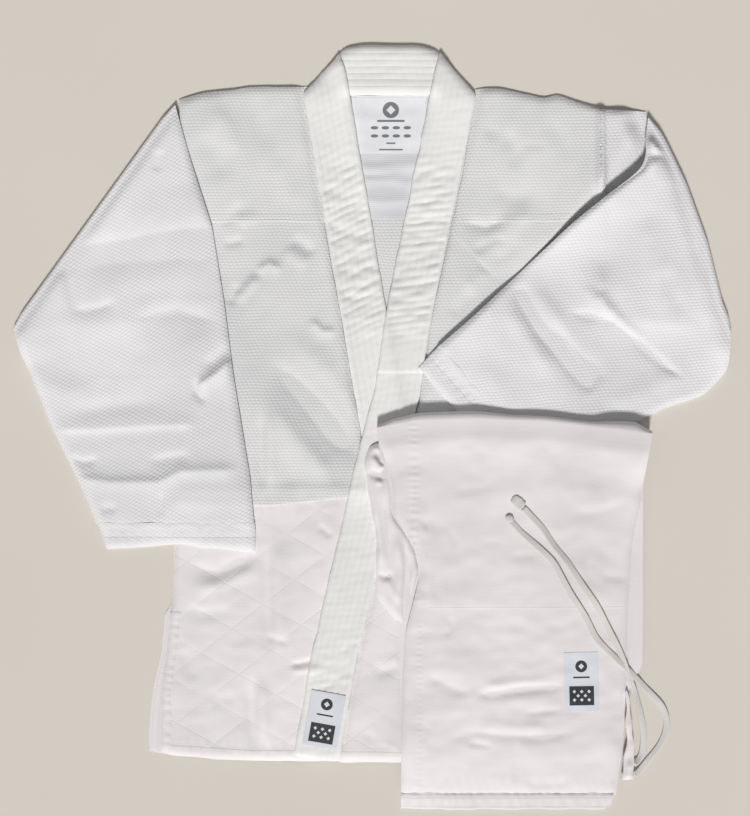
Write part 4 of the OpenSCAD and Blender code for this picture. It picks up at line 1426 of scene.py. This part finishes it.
loop = rounded(OUTLINE["left_knee_patch_upper"], 2.5 * MM, wave=0.4, seed=63)
loop[:, 1] = np.minimum(loop[:, 1], -0.013)
mid = lay(loop, KNEE_T, sag=1.5, gap=0.0)
sink = 1.0 * MM * soft((RY + 0.045) / 0.03)
m_knee = cloth("trouser_knee", TROUSER, TROUSER_SHADE, PLAIN, 0.1, kind="plain", stitch=(2.5,))
panel("left_knee_patch_upper_cloth", loop, mid - sink, KNEE_T, FINE, m_knee, "trousers_waist",
      ["left_knee_patch_upper"], stitch=mm([(60, -198), (275, -198)]))

# waistband, gusset and the gathered corner
loop = rounded(tucked(OUTLINE["waistband"], [(30, -404), (265.8, -404)], (0, 3.5)), 2 * MM, wave=0.5, seed=64, rounds=4)
row = int(round((-0.399 - GY[0]) / CELL))
edge_height = np.interp(GX, GX[(GX > 0.034) & (GX < 0.262)], thighs[3][row][(GX > 0.034) & (GX < 0.262)])
BAND_DEEP = 3.4 * MM
top = np.where(RY > -0.4025, thighs[3], edge_height[None, :])
band_mid = top + COTTON_T / 2 - BAND_DEEP / 2 + 0.5 * MM
band_mid = band_mid - 1.6 * MM * soft((-0.405 - RY) / 0.014)


def casing_fine(x, y):
    """The casing's gathers, drawn in along its seam."""
    wave = np.sin(x / (1.7 * MM) + 2.6 * np.sin(x / 0.014))
    along_seam = 0.45 * MM * wave * np.exp(-((y + 0.406) / 0.006) ** 2)
    return along_seam + 0.25 * MM * np.sin(x / 0.0031) * soft((y + 0.42) / 0.01)


waist_line = mm([(30, -404), (265.8, -404)])
panel("waistband_cloth", loop, band_mid, BAND_DEEP, 1.8 * MM, m_trouser_hem, "trousers_waist", ["waistband"],
      stitch=waist_line, fine=casing_fine, rim=0.55, spare=1.6)

gusset = rounded(OUTLINE["crotch_gusset"], 2 * MM, wave=0.6, seed=65)
crush = rumple(19, 9, 0.5, 1.8, 90)
creases(crush, [
    ((-2, -30, 6, -44, 14, -40), 3.0, 3),
    ((0, -50, 8, -52, 14, -48), -5.0, 4, 5, 2.0, 0),
    ((2, -58, 10, -62), 2.5, 3),
    ((6, -30, 11, -36, 15, -34), -5.0, 4, 5, 2.0, 0),
    ((-4, -66, 4, -112, 8, -160), 2.0, 4),
    ((10, -66, 14, -112, 18, -160), -2.4, 3.5, 4, 1.4),
    ((33, -118, 37, -150, 36, -186, 32, -222), -4.5, 3, 3, 1.3),
    ((24, -110, 29, -150, 27, -190), 2.2, 4),
    ((43, -124, 45, -155, 41, -190), 2.0, 3.5),
    ((4, -158, 12, -164, 22, -160), -3.5, 3, 4, 1.4),
    ((10, -160, 20, -176, 30, -194), 1.8, 4),
])
gusset_low = np.minimum(blur(np.where(inside(RX, RY, leg_loop), legs[0], heap), 0.006) + 0.001, 0.0185)
base = blur(np.maximum(gusset_low, 0.009), 0.004)
gusset_mid = base + pillow(gusset, 3) * np.clip(3.5 * MM + crush, 0.4 * MM, 9 * MM)
panel("crotch_gusset_cloth", gusset, gusset_mid, COTTON_T, 1.7 * MM, m_trouser, "trousers_waist", ["crotch_gusset"],
      drop=2.0 * MM, angle=70, spare=1.5)
gather = rounded(OUTLINE["side_slit_gather"], 1.8 * MM, wave=0.6, seed=66)
frill = rumple(20, 6, 1.3, 1.5, 80)
gather_mid = np.full(RX.shape, 0.010) + pillow(gather, 2.5) * np.clip(3 * MM + frill, 0, 6 * MM)
panel("side_slit_gather_cloth", gather, gather_mid, COTTON_T, 1.7 * MM, m_trouser, "trousers_waist",
      ["side_slit_gather"], drop=4.0 * MM, angle=80, spare=1.9)
label = rounded(OUTLINE["trouser_label"], 1.5 * MM, rounds=1)
mid = lay(label, LABEL_T, sag=1.5)
panel("trouser_label_cloth", label, mid, LABEL_T, 1.5 * MM, m_label, "trousers_waist", ["trouser_label"],
      uv=label_uv(227, -278, 1))
heap = np.maximum(heap, np.where(inside(RX, RY, OUTLINE["side_slit_gather"]), gather_mid + 0.001, 0))


# ---------------------------------------------------------------- drawstring
def tape(route):
    """The middle line of a flat tape that lies on whatever is under its route."""
    line = resample(route, 2.5 * MM)
    for _ in range(10):
        line[1:-1] = 0.5 * line[1:-1] + 0.25 * (line[:-2] + line[2:])
    ground = sample(blur(heap, 0.003), line[:, 0], line[:, 1])
    z = np.maximum(ground + 1.1 * MM, 1.8 * MM)
    w = np.exp(-0.5 * (np.arange(-6, 7) / 2.5) ** 2)
    w /= w.sum()
    z = np.maximum(z, np.convolve(np.pad(z, 6, mode="edge"), w, "valid"))
    return np.column_stack([line[:, :2], z])


def tape_mesh(name, line, width, thick, twist):
    """A flat tube round a line, with a groove along its middle, turned about the line by twist."""
    d = np.gradient(line, axis=0)
    d /= np.linalg.norm(d, axis=1)[:, None]
    side = np.cross(np.array([0, 0, 1.0]), d)
    side /= np.linalg.norm(side, axis=1)[:, None]
    up = np.cross(d, side)
    ang = twist(np.linspace(0, 1, len(line)))
    ca, sa = np.cos(ang)[:, None], np.sin(ang)[:, None]
    side, up = side * ca + up * sa, up * ca - side * sa
    profile = []
    for k in range(16):
        a = 2 * math.pi * (k + 0.5) / 16
        x, y = math.cos(a), math.sin(a)
        x = math.copysign(abs(x) ** 0.6, x)
        y = math.copysign(abs(y) ** 0.55, y) * (1.0 - 0.25 * math.exp(-(x / 0.35) ** 2) + 0.1)
        profile.append((x * width / 2, y * thick / 2))
    rings = np.stack([line + side * px + up * py for px, py in profile], 1)
    n, m = len(line), len(profile)
    v = rings.reshape(-1, 3)
    faces = []
    for i in range(n - 1):
        for k in range(m):
            a, b = i * m + k, i * m + (k + 1) % m
            faces.append((a, b, b + m, a + m))
    faces.append(tuple(range(m))[::-1])
    faces.append(tuple(range((n - 1) * m, n * m)))
    me = bpy.data.meshes.new(name)
    me.from_pydata([tuple(p) for p in v], [], faces)
    me.polygons.foreach_set("use_smooth", np.ones(len(me.polygons), bool))
    run = np.concatenate([[0], np.cumsum(np.linalg.norm(np.diff(line, axis=0), axis=1))])
    layer = me.uv_layers.new(name="Cloth")
    for loop in me.loops:
        i, k = divmod(loop.vertex_index, m)
        layer.data[loop.index].uv = (profile[k][0], run[i])
    me.materials.append(m_tape)
    me.update()
    ob = bpy.data.objects.new(name, me)
    bpy.context.scene.collection.objects.link(ob)
    return ob


def lump(name, centre, size, angle, node, phase, folded_flat=False):
    """A small knotted or folded end of the tape."""
    bm = bmesh.new()
    bmesh.ops.create_uvsphere(bm, u_segments=32, v_segments=20, radius=1)
    c, s = math.cos(math.radians(angle)), math.sin(math.radians(angle))
    for v in bm.verts:
        x, y, z = v.co
        p = 0.34 if folded_flat else 0.8
        x, y = math.copysign(abs(x) ** p, x), math.copysign(abs(y) ** p, y)
        r = 1 + 0.07 * math.sin(4 * math.atan2(y, x) + phase) + 0.05 * math.sin(9 * y + phase)
        if folded_flat:
            z *= 1 + 0.22 * math.sin(y * 5.0)
        x, y, z = x * size[0] * r, y * size[1] * r, z * size[2]
        v.co = (centre[0] + x * c - y * s, centre[1] + x * s + y * c, centre[2] + z)
    me = bpy.data.meshes.new(name)
    bm.to_mesh(me)
    bm.free()
    me.polygons.foreach_set("use_smooth", np.ones(len(me.polygons), bool))
    layer = me.uv_layers.new(name="Cloth")
    for loop in me.loops:
        co = me.vertices[loop.vertex_index].co
        layer.data[loop.index].uv = (co.x * c + co.y * s, -co.x * s + co.y * c)
    me.materials.append(m_tape)
    ob = bpy.data.objects.new(name, me)
    bpy.context.scene.collection.objects.link(ob)
    settle(ob, "trousers_waist", [node])
    return ob


def drawstring(name, route, node, phase):
    """One loose end of the drawstring. Returns its middle line."""
    line = tape(route)
    ob = tape_mesh(name, line, 6.8 * MM, 1.7 * MM, lambda t: 0.35 * np.sin(11 * t + phase))
    settle(ob, "trousers_waist", [node])
    return line


end = sample(heap, np.array([0.1466]), np.array([-0.0978]))[0]
knot = lump("drawstring_knot_cloth", (0.1483, -0.0997, end + 1.9 * MM), (4.2 * MM, 4.6 * MM, 2.1 * MM), 40,
            "drawstring_knot", 1.0)
end = sample(heap, np.array([0.1545]), np.array([-0.0790]))[0]
tab = lump("drawstring_tab_cloth", (0.1574, -0.0816, end + 1.5 * MM), (5.4 * MM, 8.2 * MM, 1.6 * MM), 47,
           "drawstring_tab", 2.0, folded_flat=True)
long_line = drawstring("drawstring_long_cloth", ROUTE_LONG, "drawstring_long_end", 3)
taken, _, along, run = near(RX, RY, long_line[:, :2])
over = np.interp(along, np.linspace(0, run, len(long_line)), long_line[:, 2])
heap = np.where(taken < 0.0045, np.maximum(heap, over + 0.001), heap)
drawstring("drawstring_short_cloth", ROUTE_SHORT, "drawstring_short_end", 5)


# ---------------------------------------------------------------- stage
def make_stage():
    """The plain floor, one soft key light from the lower edge of the view, and a pale sky."""
    me = bpy.data.meshes.new("floor")
    s = 3.0
    me.from_pydata([(-s, -s, 0), (s, -s, 0), (s, s, 0), (-s, s, 0)], [], [(0, 1, 2, 3)])
    n = Nodes("table_cloth")
    tc = n.tree.nodes.new("ShaderNodeTexCoord")
    tint = n.noise(tc.outputs["Object"], 3.0, 3.0)
    n.put(n.bsdf.inputs["Base Color"], n.mix(tint, rgb(212, 205, 195), rgb(217, 210, 201)))
    n.bsdf.inputs["Roughness"].default_value = 0.95
    n.bsdf.inputs["Specular IOR Level"].default_value = 0.1
    fine = n.noise(tc.outputs["Object"], 900.0, 2.0)
    n.put(n.bsdf.inputs["Normal"], n.bump(fine, 0.0001))
    me.materials.append(n.mat)
    floor = bpy.data.objects.new("floor", me)
    bpy.context.scene.collection.objects.link(floor)
    sun = bpy.data.lights.new("key", "SUN")
    sun.energy, sun.angle = 3.0, math.radians(11)
    sun.color = (1.0, 0.992, 0.98)
    ob = bpy.data.objects.new("key", sun)
    direction = Vector((0.07, 0.80, -0.86))
    ob.rotation_mode = "QUATERNION"
    ob.rotation_quaternion = direction.to_track_quat("-Z", "Y")
    bpy.context.scene.collection.objects.link(ob)
    world = bpy.data.worlds.new("soft_sky")
    bpy.context.scene.world = world
    world.use_nodes = True
    world.node_tree.nodes["Background"].inputs[0].default_value = (0.97, 0.99, 1.0, 1.0)
    world.node_tree.nodes["Background"].inputs[1].default_value = 0.27
    bpy.context.scene.view_settings.view_transform = "Standard"


make_stage()
